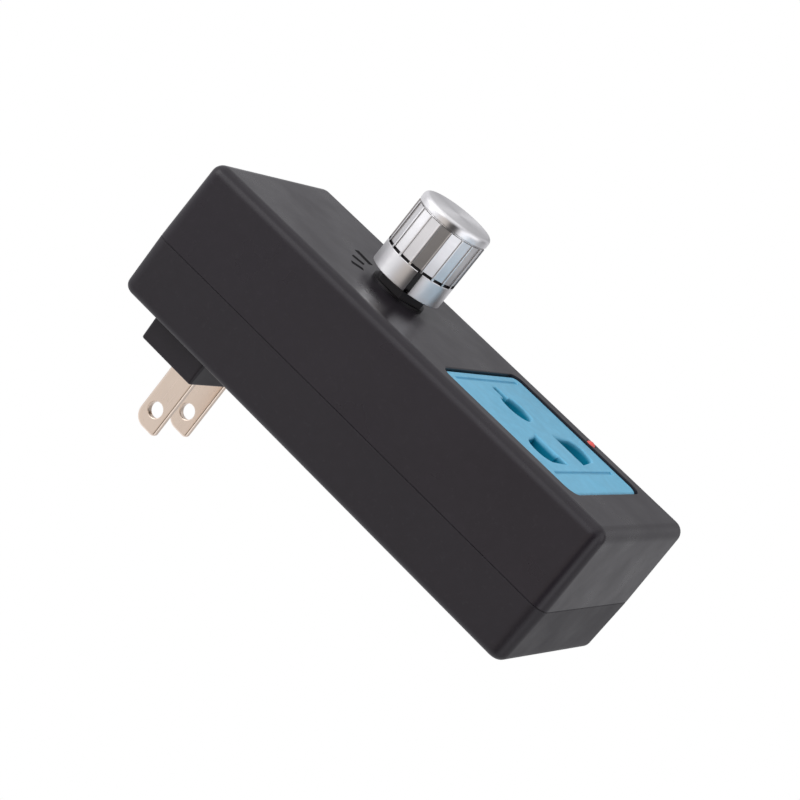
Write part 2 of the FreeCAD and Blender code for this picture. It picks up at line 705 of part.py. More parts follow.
def make_knob_core():
    """The plastic core in the sleeve, with a D-shaped bore and the rib that shows as the pointer."""
    body = new_body("knob_core", height=KNOB, out=KNOB_FOOT)
    across = "(knob_diameter - 2 * sleeve_wall - fit_gap)"
    height = "(knob_height - sleeve_top - core_inset - fit_gap)"
    outline = new_sketch(body, "core_outline", lift="core_inset")
    draw_circle(outline, across)
    pad(body, outline, height)
    rib = new_sketch(body, "core_rib", lift="core_inset")
    draw_outline(rib, [("0", "-pointer_width / 2 + fit_gap / 2"), ("knob_diameter / 2 - fit_gap", "-pointer_width / 2 + fit_gap / 2"),
                       ("knob_diameter / 2 - fit_gap", "pointer_width / 2 - fit_gap / 2"), ("0", "pointer_width / 2 - fit_gap / 2")])
    rib.setExpression("AttachmentOffset.Rotation.Angle", formula("pointer_angle"))
    pad(body, rib, "skirt_height - core_inset - fit_gap")
    bore = new_sketch(body, "core_bore", lift="core_inset")
    radius = value("shaft_diameter / 2")
    flat = value("shaft_diameter / 2 - shaft_flat")
    angle = math.acos(flat / radius)
    circle = Part.Circle(Vector(), Vector(0, 0, 1), radius)
    arc = bore.addGeometry(Part.ArcOfCircle(circle, angle, 2 * math.pi - angle), False)
    chord = bore.addGeometry(Part.LineSegment(circle.value(2 * math.pi - angle), circle.value(angle)), False)
    bore.addConstraint(Sketcher.Constraint("Coincident", arc, 2, chord, 1))
    bore.addConstraint(Sketcher.Constraint("Coincident", chord, 2, arc, 1))
    bore.addConstraint(Sketcher.Constraint("Coincident", arc, 3, -1, 1))
    bore.addConstraint(Sketcher.Constraint("Vertical", chord))
    bind(bore, "Radius", arc, to="shaft_diameter / 2")
    bind(bore, "DistanceX", -1, 1, chord, 1, to="shaft_diameter / 2 - shaft_flat")
    bore.setExpression("AttachmentOffset.Rotation.Angle", formula("pointer_angle"))
    pocket(body, bore, "shaft_engagement", forward=True)
    keep(body, "knob_core")


# Potentiometer, from the inside of the front wall backwards

FLANGE_BACK = FRONT_INSIDE[:-1] + " - flange_thickness)"
CAN_BACK = FRONT_INSIDE[:-1] + " - flange_thickness - can_depth)"
ROTOR_FRONT = FRONT_INSIDE[:-1] + " - flange_thickness - rotor_gap)"


def make_potentiometer():
    plate = cylinder("bushing_plate", "flange_diameter", "flange_thickness", height=KNOB, out=FLANGE_BACK)
    neck = cylinder("bushing_neck", "bushing_diameter", "flange_thickness + case_wall + bushing_proud",
                    height=KNOB, out=FLANGE_BACK)
    solid = fused("bushing_solid", [plate, neck])
    bore = cylinder("bushing_bore", "shaft_diameter + 2 * shaft_play",
                    "flange_thickness + case_wall + bushing_proud + 2", height=KNOB, out=f"{FLANGE_BACK} - 1")
    keep(cut("bushing", solid, bore), "pot_bushing")

    shell = cylinder("can_outside", "flange_diameter", "can_depth", height=KNOB, out=CAN_BACK)
    hollow = cylinder("can_inside", "flange_diameter - 2 * can_wall", "can_depth", height=KNOB,
                      out=f"{CAN_BACK} + can_wall")
    window = block("can_window", "2 * terminal_pitch + 2 * terminal_width", "flange_diameter / 2",
                   "track_thickness + terminal_thickness + 2 * fit_gap", z=f"{KNOB} + flange_diameter / 2",
                   out=f"{CAN_BACK} + can_wall")
    keep(cut("can", cut("can_cup", shell, hollow), window), "pot_can")
    keep(cylinder("track", "flange_diameter - 2 * can_wall - 2 * fit_gap", "track_thickness", height=KNOB,
                  out=f"{CAN_BACK} + can_wall"), "pot_track")

    turning = "(flange_thickness + rotor_gap + rotor_thickness)"
    reach = f"({turning} + case_wall + knob_lift + core_inset + shaft_engagement - fit_gap)"
    shaft = new_body("pot_shaft", height=KNOB, out=f"{ROTOR_FRONT} - rotor_thickness")
    disc = new_sketch(shaft, "rotor_disc")
    draw_circle(disc, "rotor_diameter")
    pad(shaft, disc, "rotor_thickness")
    stem = new_sketch(shaft, "shaft_stem")
    draw_circle(stem, "shaft_diameter - 0")
    pad(shaft, stem, reach)
    flat = new_sketch(shaft, "shaft_flat_cut", lift=reach)
    draw_outline(flat, [("shaft_diameter / 2 - shaft_flat - fit_gap / 2", "-shaft_diameter"), ("shaft_diameter", "-shaft_diameter"),
                        ("shaft_diameter", "shaft_diameter"), ("shaft_diameter / 2 - shaft_flat - fit_gap / 2", "shaft_diameter")])
    flat.setExpression("AttachmentOffset.Rotation.Angle", formula("pointer_angle"))
    pocket(shaft, flat, "shaft_engagement + core_inset / 2")
    keep(shaft, "pot_shaft")

    wiper = new_body("pot_wiper", height=KNOB, out=f"{CAN_BACK} + can_wall + track_thickness + fit_gap")
    brush = new_sketch(wiper, "wiper_outline")
    inner = "rotor_diameter / 5"
    tip = "(rotor_diameter / 2 - 5 * fit_gap)"
    draw_outline(brush, [(inner, "-terminal_width / 2"), (tip, "-terminal_width / 2"),
                         (tip, "terminal_width / 2"), (inner, "terminal_width / 2")])
    brush.setExpression("AttachmentOffset.Rotation.Angle", formula("pointer_angle - 180"))
    pad(wiper, brush, "can_depth - can_wall - track_thickness - rotor_gap - rotor_thickness - fit_gap")
    keep(wiper, "pot_wiper")

    legs = []
    wide = value("terminal_width")
    thin = value("terminal_thickness")
    top = value(f"{CAN_BACK} + can_wall + track_thickness")
    tail = value(f"{KNOB} + flange_diameter / 2 + 1.6")
    inner = value(f"{KNOB} + rotor_diameter / 2")
    down = value(f"{BOARD_REAR} - 0.6")
    for step in (-1, 0, 1):
        x = step * value("terminal_pitch")
        foot = Part.makeBox(wide, tail + thin - inner, thin, Vector(x - wide / 2, inner, top))
        leg = Part.makeBox(wide, thin, top + thin - down, Vector(x - wide / 2, tail, down))
        legs.append(foot.fuse(leg).removeSplitter())
        drill(f"{step} * terminal_pitch", f"{KNOB} + flange_diameter / 2 + 1.6 + terminal_thickness / 2",
              "terminal_width + terminal_thickness / 2")
    keep(group("terminals", legs), "pot_terminals")

    ring = cylinder("washer_disc", "washer_diameter", "washer_thickness", height=KNOB, out=FRONT)
    hole = cylinder("washer_hole", "bushing_diameter + 2 * fit_gap", "washer_thickness * 3", height=KNOB,
                    out=f"{FRONT} - washer_thickness")
    keep(cut("washer", ring, hole), "pot_washer")

    nut = new_body("pot_nut", height=KNOB, out=f"{FRONT} + washer_thickness")
    hexagon = new_sketch(nut, "nut_outline")
    side = "nut_flats / 2 / cos(30)"
    turns = (30, 90, 150, 210, 270, 330)
    draw_outline(hexagon, [(f"{side} * {round(math.cos(math.radians(a)), 9)}",
                            f"{side} * {round(math.sin(math.radians(a)), 9)}") for a in turns])
    pad(nut, hexagon, "nut_thickness")
    thread = new_sketch(nut, "nut_thread", lift="nut_thickness")
    draw_circle(thread, "bushing_diameter + fit_gap")
    pocket(nut, thread)
    keep(nut, "pot_nut")


# Socket


def draw_pin_opening(drawing, side):
    """A tall flat inner side that narrows to a round nose away from the middle."""
    way = -1 if side == "-" else 1
    inner = value("pin_inner") * way
    nose = value("pin_nose_x") * way
    half = value("pin_height") / 2
    radius = value("pin_nose") / 2
    level = -value("pin_drop")
    centre = Vector(nose, level, 0)
    far = math.hypot(inner - nose, half)
    lean = math.acos(radius / far)
    to_top = math.atan2(half, inner - nose)
    to_bottom = math.atan2(-half, inner - nose)
    circle = Part.Circle(centre, Vector(0, 0, 1), radius)
    top = to_top - way * lean
    bottom = to_bottom + way * lean
    first, last = (bottom, top) if way > 0 else (top, bottom)
    if last < first:
        last += 2 * math.pi
    arc = drawing.addGeometry(Part.ArcOfCircle(circle, first, last), False)
    ends = (1, 2) if way > 0 else (2, 1)
    low = Vector(inner, level - half, 0)
    high = Vector(inner, level + half, 0)
    flat = drawing.addGeometry(Part.LineSegment(high, low), False)
    under = drawing.addGeometry(Part.LineSegment(low, circle.value(bottom)), False)
    over = drawing.addGeometry(Part.LineSegment(circle.value(top), high), False)
    drawing.addConstraint(Sketcher.Constraint("Coincident", flat, 2, under, 1))
    drawing.addConstraint(Sketcher.Constraint("Coincident", over, 2, flat, 1))
    drawing.addConstraint(Sketcher.Constraint("Tangent", under, 2, arc, ends[0]))
    drawing.addConstraint(Sketcher.Constraint("Tangent", over, 1, arc, ends[1]))
    drawing.addConstraint(Sketcher.Constraint("Vertical", flat))
    bind(drawing, "DistanceX", -1, 1, flat, 1, to=f"{side}pin_inner")
    bind(drawing, "DistanceX", -1, 1, arc, 3, to=f"{side}pin_nose_x")
    bind(drawing, "DistanceY", -1, 1, arc, 3, to="-pin_drop")
    bind(drawing, "DistanceY", -1, 1, flat, 1, to="pin_height / 2 - pin_drop")
    bind(drawing, "DistanceY", flat, 2, flat, 1, to="pin_height")
    bind(drawing, "Radius", arc, to="pin_nose / 2")


def draw_earth_opening(drawing):
    """A round opening cut flat at the top, with a narrow slot above the flat."""
    radius = value("earth_hole / 2")
    rise = value("earth_rise")
    flat = value("earth_flat")
    half = value("earth_slot_width / 2")
    high = rise + value("earth_slot_height")
    edge = math.asin(flat / radius)
    circle = Part.Circle(Vector(0, rise, 0), Vector(0, 0, 1), radius)
    arc = drawing.addGeometry(Part.ArcOfCircle(circle, math.pi - edge, 2 * math.pi + edge), False)
    spots = [circle.value(edge), Vector(half, rise + flat, 0), Vector(half, high, 0), Vector(-half, high, 0),
             Vector(-half, rise + flat, 0), circle.value(math.pi - edge)]
    lines = [drawing.addGeometry(Part.LineSegment(a, b), False) for a, b in zip(spots, spots[1:])]
    for first, second in zip(lines, lines[1:]):
        drawing.addConstraint(Sketcher.Constraint("Coincident", first, 2, second, 1))
    drawing.addConstraint(Sketcher.Constraint("Coincident", arc, 2, lines[0], 1))
    drawing.addConstraint(Sketcher.Constraint("Coincident", lines[-1], 2, arc, 1))
    for line, kind in zip(lines, ("Horizontal", "Vertical", "Horizontal", "Vertical", "Horizontal")):
        drawing.addConstraint(Sketcher.Constraint(kind, line))
    drawing.addConstraint(Sketcher.Constraint("PointOnObject", arc, 3, -2))
    bind(drawing, "Radius", arc, to="earth_hole / 2")
    bind(drawing, "DistanceY", -1, 1, arc, 3, to="earth_rise")
    bind(drawing, "DistanceY", -1, 1, lines[0], 1, to="earth_rise + earth_flat")
    bind(drawing, "DistanceY", -1, 1, lines[2], 1, to="earth_rise + earth_slot_height")
    bind(drawing, "DistanceX", -1, 1, lines[1], 1, to="earth_slot_width / 2")
    bind(drawing, "DistanceX", -1, 1, lines[3], 1, to="-earth_slot_width / 2")
    drawing.addConstraint(Sketcher.Constraint("Horizontal", lines[0], 1, lines[-1], 2))


CONTACT_SPOTS = {
    "contact_left": ("-(pin_inner + pin_nose_x + pin_nose / 2) / 2", "-pin_drop"),
    "contact_right": ("(pin_inner + pin_nose_x + pin_nose / 2) / 2", "-pin_drop"),
    "contact_earth": ("0", "earth_rise"),
}
SOCKET_SCREWS = [("-socket_screw_x", "socket_screw_rise"), ("socket_screw_x", "socket_screw_rise")]


def make_socket_face():
    body = new_body("socket_face", height=SOCKET, out=SOCKET_BACK)
    outline = new_sketch(body, "face_outline")
    draw_rounded(outline, f"{SOCKET_WIDTH} - 2 * socket_gap", "socket_height - 2 * socket_gap", "socket_corner - socket_gap")
    pad(body, outline, "socket_depth")
    fillet(body, edges_at(body.Tip.Shape, value("socket_depth")), "socket_edge_radius")
    ledge = new_sketch(body, "face_ledge", lift="socket_depth + socket_inset - case_wall")
    draw_rounded(ledge, "base_width", "socket_height + 2 * flange_lip", "socket_corner - socket_gap")
    pad(body, ledge, "flange_lip_thickness", back=True)
    for name, level in (("upper_line", "socket_height / 2 - socket_gap - panel_line_top"),
                        ("lower_line", "-(socket_height / 2 - socket_gap - panel_line_bottom)")):
        line = new_sketch(body, name, lift="socket_depth", y=level)
        draw_box(line, "panel_line_length", "panel_line_width")
        pocket(body, line, "panel_line_depth")
    earth = new_sketch(body, "earth_opening", lift="socket_depth")
    draw_earth_opening(earth)
    pocket(body, earth)
    for name, side in (("left_opening", "-"), ("right_opening", "")):
        pin = new_sketch(body, name, lift="socket_depth")
        draw_pin_opening(pin, side)
        pocket(body, pin)
    pilots = new_sketch(body, "face_pilots")
    draw_circles(pilots, "small_thread - 2 * fit_gap", SOCKET_SCREWS)
    pocket(body, pilots, "socket_depth / 2", forward=True)
    keep(body, "socket_face")


def make_socket_base():
    body = new_body("socket_base", height=SOCKET, out=BASE_BACK)
    outline = new_sketch(body, "base_outline")
    draw_rounded(outline, "base_width", "base_height", "socket_corner")
    pad(body, outline, "base_depth")
    cells = new_sketch(body, "contact_cells", lift="base_depth")
    tabs = new_sketch(body, "contact_slots")
    wide = "(contact_opening / 2 + contact_thickness + 2 * fit_gap)"
    tall = "(contact_width / 2 + 2 * fit_gap)"
    for x, y in CONTACT_SPOTS.values():
        draw_outline(cells, [(f"{x} - {wide}", f"{y} - {tall}"), (f"{x} + {wide}", f"{y} - {tall}"),
                             (f"{x} + {wide}", f"{y} + {tall}"), (f"{x} - {wide}", f"{y} + {tall}")])
        thin = "(contact_thickness / 2 + fit_gap)"
        flat = "(contact_tab / 2 + fit_gap)"
        draw_outline(tabs, [(f"{x} - {thin}", f"{y} - {flat}"), (f"{x} + {thin}", f"{y} - {flat}"),
                            (f"{x} + {thin}", f"{y} + {flat}"), (f"{x} - {thin}", f"{y} + {flat}")])
    pocket(body, cells, "base_depth - base_floor")
    pocket(body, tabs, forward=True)
    holes = new_sketch(body, "base_screw_holes")
    draw_circles(holes, "small_thread + 2 * screw_play", SOCKET_SCREWS)
    pocket(body, holes, forward=True)
    recesses = new_sketch(body, "base_screw_recesses")
    draw_circles(recesses, "small_head + 2 * screw_play", SOCKET_SCREWS)
    pocket(body, recesses, "base_depth / 2", forward=True)
    keep(body, "socket_base")


def make_contacts():
    """Folded spring strips: two leaves pinched towards each other, a web, and a tab through the floor."""
    thick = value("contact_thickness")
    half = value("contact_opening / 2")
    deep = value("contact_depth")
    edge = value("contact_width / 2")
    tab = value("base_floor + contact_tab")
    leaf = [Vector(half, edge, thick + deep), Vector(value("contact_pinch / 2") + thick, edge, deep * 0.7),
            Vector(half, edge, deep * 0.35), Vector(half, edge, thick)]
    path = leaf + [Vector(-p.x, edge, p.z) for p in reversed(leaf)]
    strip = Part.makePolygon(path).makeOffset2D(thick, 2, True, True, False)
    spring = strip.extrude(Vector(0, -2 * edge, 0))
    tail = Part.makeBox(thick, value("contact_tab"), tab, Vector(-thick / 2, -value("contact_tab / 2"), -tab))
    solid = spring.fuse(tail).removeSplitter()
    for label, (x, y) in CONTACT_SPOTS.items():
        item = doc.addObject("Part::Feature", label)
        item.Shape = solid
        set_place(item, x, f"{SOCKET} + {y}", f"{BASE_BACK} + base_floor")
        keep(item, label)


# Lamp


def make_lamp():
    body = new_body("led_lens", x=LED_X, height=LED_HEIGHT, out=f"{FRONT} + led_proud - led_length")
    outline = new_sketch(body, "lens_outline")
    draw_circle(outline, "led_diameter")
    pad(body, outline, "led_length")
    fillet(body, edges_at(body.Tip.Shape, value("led_length")), "led_diameter / 2.4")
    collar = new_sketch(body, "lens_collar", lift="led_length - led_proud - case_wall")
    draw_circle(collar, "led_collar")
    pad(body, collar, "led_collar_height", back=True)
    keep(body, "led_lens")
    leads = []
    back = value(f"{FRONT} + led_proud - led_length")
    for side in ("-", "+"):
        x = value(LED_X)
        low = value(f"{LED_HEIGHT} {side} led_lead_pitch / 2")
        pin_x = f"{BOARD_WIDTH} / 2 - 1.2"
        pin_height = f"{KNOB} - board_height / 2 + 8.4 {side} 0.8"
        drill(pin_x, pin_height, "lead_diameter")
        level = value(f"{BOARD_FRONT} + 2 {side} 0.6")
        pin = Vector(value(pin_x), value(pin_height), level)
        path = [Vector(x, low, back), Vector(x, low, level), Vector(x, value(f"{KNOB} - board_height / 2 + 4.4"), level),
                pin, Vector(pin.x, pin.y, value(BOARD_REAR) - 0.6)]
        leads.append(tube(path, value("lead_diameter")))
    keep(group("lamp_leads", leads), "led_leads")


def tube(points, diameter):
    """A round bar along straight runs joined by arcs as large as the runs allow."""
    edges = []
    radii = []
    start = points[0]
    for before, corner, after in zip(points, points[1:], points[2:]):
        inward = (before - corner).normalize()
        outward = (after - corner).normalize()
        turn = math.pi - inward.getAngle(outward)
        run = 0.45 * min((before - corner).Length, (after - corner).Length)
        radii.append(run / math.tan(turn / 2))
        first = corner + inward * run
        last = corner + outward * run
        middle_way = (inward + outward).normalize()
        half_turn = radii[-1] / math.cos(turn / 2)
        middle = corner + middle_way * (half_turn - radii[-1])
        edges.append(Part.LineSegment(start, first).toShape())
        edges.append(Part.Arc(first, middle, last).toShape())
        start = last
    edges.append(Part.LineSegment(start, points[-1]).toShape())
    wire = Part.Wire(edges)
    ring = Part.Wire(Part.makeCircle(diameter / 2, points[0], points[1] - points[0]))
    solid = wire.makePipeShell([ring], True, False)
    print("tube radii", [round(r, 2) for r in radii], "volume ratio",
          round(solid.Volume / (math.pi * diameter ** 2 / 4 * wire.Length), 4))
    return solid


# Circuit board and what stands on it

TRIAC_TOP = f"({KNOB} + board_height / 2 - 8)"
SINK_FACE = BOARD_REAR[:-1] + " - triac_gap - triac_thickness)"


def make_board():
    body = new_body("circuit_board", height=KNOB, out=BOARD_REAR)
    outline = new_sketch(body, "board_outline")
    draw_rounded(outline, BOARD_WIDTH, "board_height", "lip_height")
    pad(body, outline, "board_thickness")
    holes = new_sketch(body, "board_holes", lift="board_thickness")
    draw_circles(holes, "small_thread + 2 * screw_play", BOARD_SPOTS)
    for x, height, size in board_holes:
        draw_circle(holes, f"{size} + lead_play", x, f"{height} - {KNOB}")
    pocket(body, holes)
    keep(body, "circuit_board")


def make_triac():
    """A plastic body on a metal tab, with three legs bent into the board."""
    centre = f"({TRIAC_TOP} - triac_tab_height + triac_height / 2)"
    keep(block("triac_moulding", "triac_width", "triac_height", "triac_thickness - triac_tab_thickness",
               x="-triac_x", z=centre, out=f"{SINK_FACE} + triac_tab_thickness"), "triac_body")
    x = -value("triac_x")
    tab = Part.makeBox(value("triac_width"), value("triac_tab_height"), value("triac_tab_thickness"),
                       Vector(x - value("triac_width / 2"), value(f"{TRIAC_TOP} - triac_tab_height"), value(SINK_FACE)))
    hole = Part.makeCylinder(value("small_thread / 2 + screw_play"), value("2 * triac_thickness"),
                             Vector(x, value(f"{TRIAC_TOP} - 3"), value(f"{SINK_FACE} - triac_thickness")))
    leads = []
    wide = value("triac_lead")
    level = value(SINK_FACE) + value("triac_thickness / 2")
    foot = value(f"{TRIAC_TOP} - triac_tab_height")
    down = value("triac_lead_length")
    for step in (-1, 0, 1):
        left = x + step * value("triac_lead_pitch") - wide / 2
        out = Part.makeBox(wide, down, 0.5, Vector(left, foot - down, level))
        leg = Part.makeBox(wide, 0.5, value(BOARD_FRONT) + 0.6 - level, Vector(left, foot - down, level))
        leads.append(out.fuse(leg).removeSplitter())
        drill(f"{step} * triac_lead_pitch - triac_x", f"{TRIAC_TOP} - triac_tab_height - triac_lead_length + 0.25",
              "triac_lead * 1.18")
    keep(group("triac_metal", [tab.cut(hole)] + leads), "triac_frame")
    screw = screw_shape(value("small_thread"), value("triac_screw_length"), value("small_head"), value("small_head_height"), x,
                        value(f"{TRIAC_TOP} - 3"), value(f"{SINK_FACE} - sink_base"))
    keep(group("triac_fastener", [screw]), "triac_screw")


def make_heatsink():
    body = new_body("heatsink", x="-triac_x", height=f"{TRIAC_TOP} - sink_height / 2 + 1", out=SINK_FACE)
    plate = new_sketch(body, "sink_plate")
    draw_box(plate, "sink_width", "sink_height")
    pad(body, plate, "sink_base", back=True)
    fins = new_sketch(body, "sink_fins", lift="-sink_base")
    for place_x in ("-sink_width / 2 + sink_fin / 2", "-sink_width / 4 - sink_fin / 4", "sink_width / 4 + sink_fin / 4",
                    "sink_width / 2 - sink_fin / 2"):
        draw_outline(fins, [(f"{place_x} - sink_fin / 2", "-sink_height / 2"), (f"{place_x} + sink_fin / 2", "-sink_height / 2"),
                            (f"{place_x} + sink_fin / 2", "sink_height / 2"), (f"{place_x} - sink_fin / 2", "sink_height / 2")])
    pad(body, fins, "sink_fin_height", back=True)
    hole = new_sketch(body, "sink_hole", y="sink_height / 2 - 4")
    draw_circle(hole, "small_thread + 2 * screw_play")
    pocket(body, hole)
    keep(body, "heatsink")


def make_choke():
    """A ring core with its winding as one sleeve around it."""
    x = value("choke_x")
    y = value(CHOKE)
    wire = value("choke_wire")
    low = value(BOARD_REAR) - value("choke_height") - wire
    inner = value("choke_inner / 2")
    outer = value("choke_outer / 2")
    high = value("choke_height")

    def ring(r_in, r_out, bottom, height):
        solid = Part.makeCylinder(r_out, height, Vector(x, y, bottom))
        return solid.cut(Part.makeCylinder(r_in, height + 2, Vector(x, y, bottom - 1)))

    core = ring(inner, outer, low, high)
    keep(group("ring_core", [core]), "choke_core")
    gap = 0.1
    sleeve = ring(inner - wire, outer + wire, low - wire, high + 2 * wire)
    sleeve = sleeve.cut(ring(inner - gap, outer + gap, low - gap, high + 2 * gap))
    open_width = value("choke_mouth")
    mouth = Part.makeBox(open_width, 2 * (outer + wire), high + 4 * wire, Vector(x - open_width / 2, y - 2 * (outer + wire), low - 2 * wire))
    keep(group("ring_winding", [sleeve.cut(mouth)]), "choke_winding")


def board_pin(x, height):
    """A straight pin from the board's rear face through the board."""
    drill(x, height, "lead_diameter")
    start = Vector(value(x), value(height), value(BOARD_REAR))
    return Part.makeCylinder(value("lead_diameter / 2"), value("board_thickness") + 0.8, start)


def axial(x, height, diameter, length):
    """The leads of a round part that lies on the board, and the level of its axis."""
    level = value(f"{BOARD_REAR} - {diameter} / 2 - lead_play")
    y = value(height)
    radius = value("lead_diameter / 2")
    reach = value("lead_reach")
    leads = []
    for side in (-1, 1):
        end = f"{x} + {side} * {length} / 2"
        bend = f"{end} + {side} * lead_reach"
        drill(bend, height, "lead_diameter")
        run = Part.makeCylinder(radius, reach, Vector(value(end), y, level), Vector(side, 0, 0))
        ball = Part.makeSphere(radius, Vector(value(bend), y, level))
        down = Part.makeCylinder(radius, value(BOARD_FRONT) + 0.8 - level, Vector(value(bend), y, level))
        leads.append(run.fuse([ball, down]).removeSplitter())
    return leads, level


def lying(x, height, level, radius, length):
    """A round bar along x, centred on x."""
    start = Vector(value(x) - length / 2, value(height), level)
    return Part.makeCylinder(radius, length, start, Vector(1, 0, 0))


def make_small_parts():
    row = f"{KNOB} - board_height / 2"
    all_leads = []
    fuse_row = f"{row} + 9.5"
    leads, level = axial("-triac_x", fuse_row, "fuse_diameter", "fuse_length")
    all_leads += leads
    cap = value("fuse_cap")
    radius = value("fuse_diameter / 2")
    caps = []
    for side in ("-", "+"):
        caps.append(lying(f"-triac_x {side} (fuse_length - fuse_cap) / 2", fuse_row, level, radius, cap))
    glass = lying("-triac_x", fuse_row, level, radius - 0.2, value("fuse_length") - 2 * cap)
    keep(group("fuse_tube", [glass]), "fuse_body")
    keep(group("fuse_ends", caps), "fuse_caps")
    resistors = []
    for x, height in (("-triac_x", f"{row} + 5.4"), ("-triac_x + 1", f"{row} + 2.2")):
        leads, level = axial(x, height, "resistor_diameter", "resistor_length")
        all_leads += leads
        resistors.append(lying(x, height, level, value("resistor_diameter / 2"), value("resistor_length")))
    keep(group("resistor_bodies", resistors), "resistors")
    leads, level = axial("choke_x - 4", f"{row} + 2.2", "diac_diameter", "diac_length")
    all_leads += leads
    tube_of_diac = lying("choke_x - 4", f"{row} + 2.2", level, value("diac_diameter / 2"), value("diac_length"))
    keep(group("diac_body", [tube_of_diac]), "diac")
    box_row = f"{KNOB} + board_height / 2 - capacitor_height / 2 - lead_reach - 0.5"
    keep(block("film_box", "capacitor_width", "capacitor_height", "capacitor_depth", x="choke_x + 1", z=box_row,
               out=f"{BOARD_REAR} - capacitor_depth"), "film_capacitor")
    for side in ("-", "+"):
        all_leads.append(board_pin(f"choke_x + 1 {side} (capacitor_width / 2 - 1.5)", box_row))
        all_leads.append(board_pin(f"choke_x {side} (choke_outer / 2 - 1)", CHOKE))
    keep(group("bent_leads", all_leads), "component_leads")


# Leads and screws


def make_wires():
    """Leads from the blades and the board to the contacts, each along the way it takes round its neighbours."""
    wide = value("wire_diameter")
    rise = value("wire_rise")
    gap = value("wire_gap")
    run = value("wire_run")
    tab_end = value("case_wall + shoulder_height + tab_length")
    blade = value("blade_spacing / 2")
    board = value(BOARD_REAR)
    board_top = value(f"{KNOB} + board_height / 2")
    above_board = board_top - wide - gap
    live = [Vector(-blade, 0, tab_end), Vector(-blade, 0, tab_end + rise), Vector(-blade, above_board, board - rise),
            Vector(-blade, above_board, board)]
    keep(group("live_lead", [tube(live, wide)]), "wire_live")
    tab_level = value(f"{SOCKET} - pin_drop")
    contact = value("(pin_inner + pin_nose_x + pin_nose / 2) / 2")
    back = value(f"{BASE_BACK} - contact_tab")
    lane = value("case_width / 2 - case_wall") - wide / 2 - 2 * gap
    floor = value(REAR_INSIDE) + wide / 2 + gap
    level = tab_end + rise - gap
    neutral = [Vector(blade, 0, tab_end), Vector(blade, 0, level), Vector(lane, -rise * gap, level),
               Vector(lane, value(KNOB), level), Vector(lane, tab_level + 2 * run, floor),
               Vector(contact, tab_level + run, floor), Vector(contact, tab_level, floor), Vector(contact, tab_level, back)]
    keep(group("neutral_lead", [tube(neutral, wide)]), "wire_neutral")
    low = value(f"{KNOB} - board_height / 2") + wide + gap
    edge = value(f"{BOARD_WIDTH} / 2") - wide
    load = [Vector(-edge, low, board), Vector(-edge, low, board - rise), Vector(-edge, low - run, floor),
            Vector(-contact, tab_level + run * 0.8, floor), Vector(-contact, tab_level, floor),
            Vector(-contact, tab_level, back)]
    keep(group("load_lead", [tube(load, wide)]), "wire_load")


def make_screws():
    thread = value("screw_thread - 2 * fit_gap")
    seat = value("counterbore_depth")
    screws = []
    for x, y in SCREW_SPOTS:
        screws.append(screw_shape(thread, value("screw_length"), value("screw_head"), value("screw_head_height"),
                                  value(x), value(f"{MIDDLE} + {y}"), seat + value("block_proud")))
    keep(group("shell_screws", screws), "case_screws")
    thread = value("small_thread - 2 * fit_gap")
    head = value("small_head")
    tall = value("small_head_height")
    board = [screw_shape(thread, value("board_screw_length"), head, tall, value(x), value(f"{KNOB} + {y}"), value(BOARD_REAR)) for x, y in BOARD_SPOTS]
    keep(group("board_fasteners", board), "board_screws")
    base = [screw_shape(thread, value("socket_screw_length"), head, tall, value(x), value(f"{SOCKET} + {y}"), value(f"{BASE_BACK} + base_depth / 2"))
            for x, y in SOCKET_SCREWS]
    keep(group("socket_fasteners", base), "socket_screws")
    clamp = [screw_shape(thread, value("clamp_screw_length"), head, tall, value(x), 0,
                         value("case_wall + shoulder_height + clamp_thickness"), forward=False)
             for x in ("-clamp_screw_x", "clamp_screw_x")]
    keep(group("clamp_fasteners", clamp), "clamp_screws")


make_front_shell()
make_rear_shell()
make_blade("blade_left", "-")
make_blade("blade_right", "")
make_blade_clamp()
make_knob_sleeve()
make_knob_core()
make_potentiometer()
make_socket_face()
make_socket_base()
make_contacts()
make_lamp()
make_triac()
make_heatsink()
make_choke()
make_small_parts()
make_board()
make_wires()
make_screws()
doc.recompute()

for item in doc.Objects:
    if {"Invalid", "Error"} & set(item.State):
        raise RuntimeError(f"{item.Label} is in the state {item.State}")
os.makedirs("parts", exist_ok=True)
for item in nodes:
    if item.Shape.isNull() or not item.Shape.isValid():
        raise RuntimeError(f"{item.Label} has no valid shape")
    item.Shape.exportStep(f"parts/{item.Label}.step")
    print(item.Label, len(item.Shape.Solids), round(item.Shape.Volume, 1))
print(len(nodes), "nodes")
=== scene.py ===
"""Looks of a plug-in motor speed controller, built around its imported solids.

Each piece that shows from outside is a numpy surface in place of its solid. The parts inside the
case keep their solids and get a material. Tables are in millimetres as (x, z, w): x to the right
seen from the front, z up, and w the distance from the outlet's face towards the viewer (w = -y).
"""

import math
from types import SimpleNamespace

import bmesh
import bpy
import numpy as np
from bpy.props import FloatProperty, FloatVectorProperty, IntProperty, PointerProperty
from mathutils import Matrix, Vector
from mathutils.geometry import delaunay_2d_cdt


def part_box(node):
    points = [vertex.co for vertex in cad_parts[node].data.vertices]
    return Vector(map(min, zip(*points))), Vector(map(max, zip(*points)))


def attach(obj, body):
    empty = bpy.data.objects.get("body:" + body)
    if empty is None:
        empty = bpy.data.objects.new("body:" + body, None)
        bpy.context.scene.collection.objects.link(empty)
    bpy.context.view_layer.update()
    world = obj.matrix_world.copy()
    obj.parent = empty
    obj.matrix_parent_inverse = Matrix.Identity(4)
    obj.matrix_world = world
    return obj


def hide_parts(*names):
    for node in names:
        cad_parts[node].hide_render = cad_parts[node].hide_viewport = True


bl_info = {
    "name": "Speed controller looks",
    "version": (1, 0, 0),
    "blender": (4, 5, 0),
    "location": "View3D > Sidebar > Speed controller",
    "description": "Rebuilds the visible surfaces of a plug-in motor speed controller",
    "category": "Object",
}

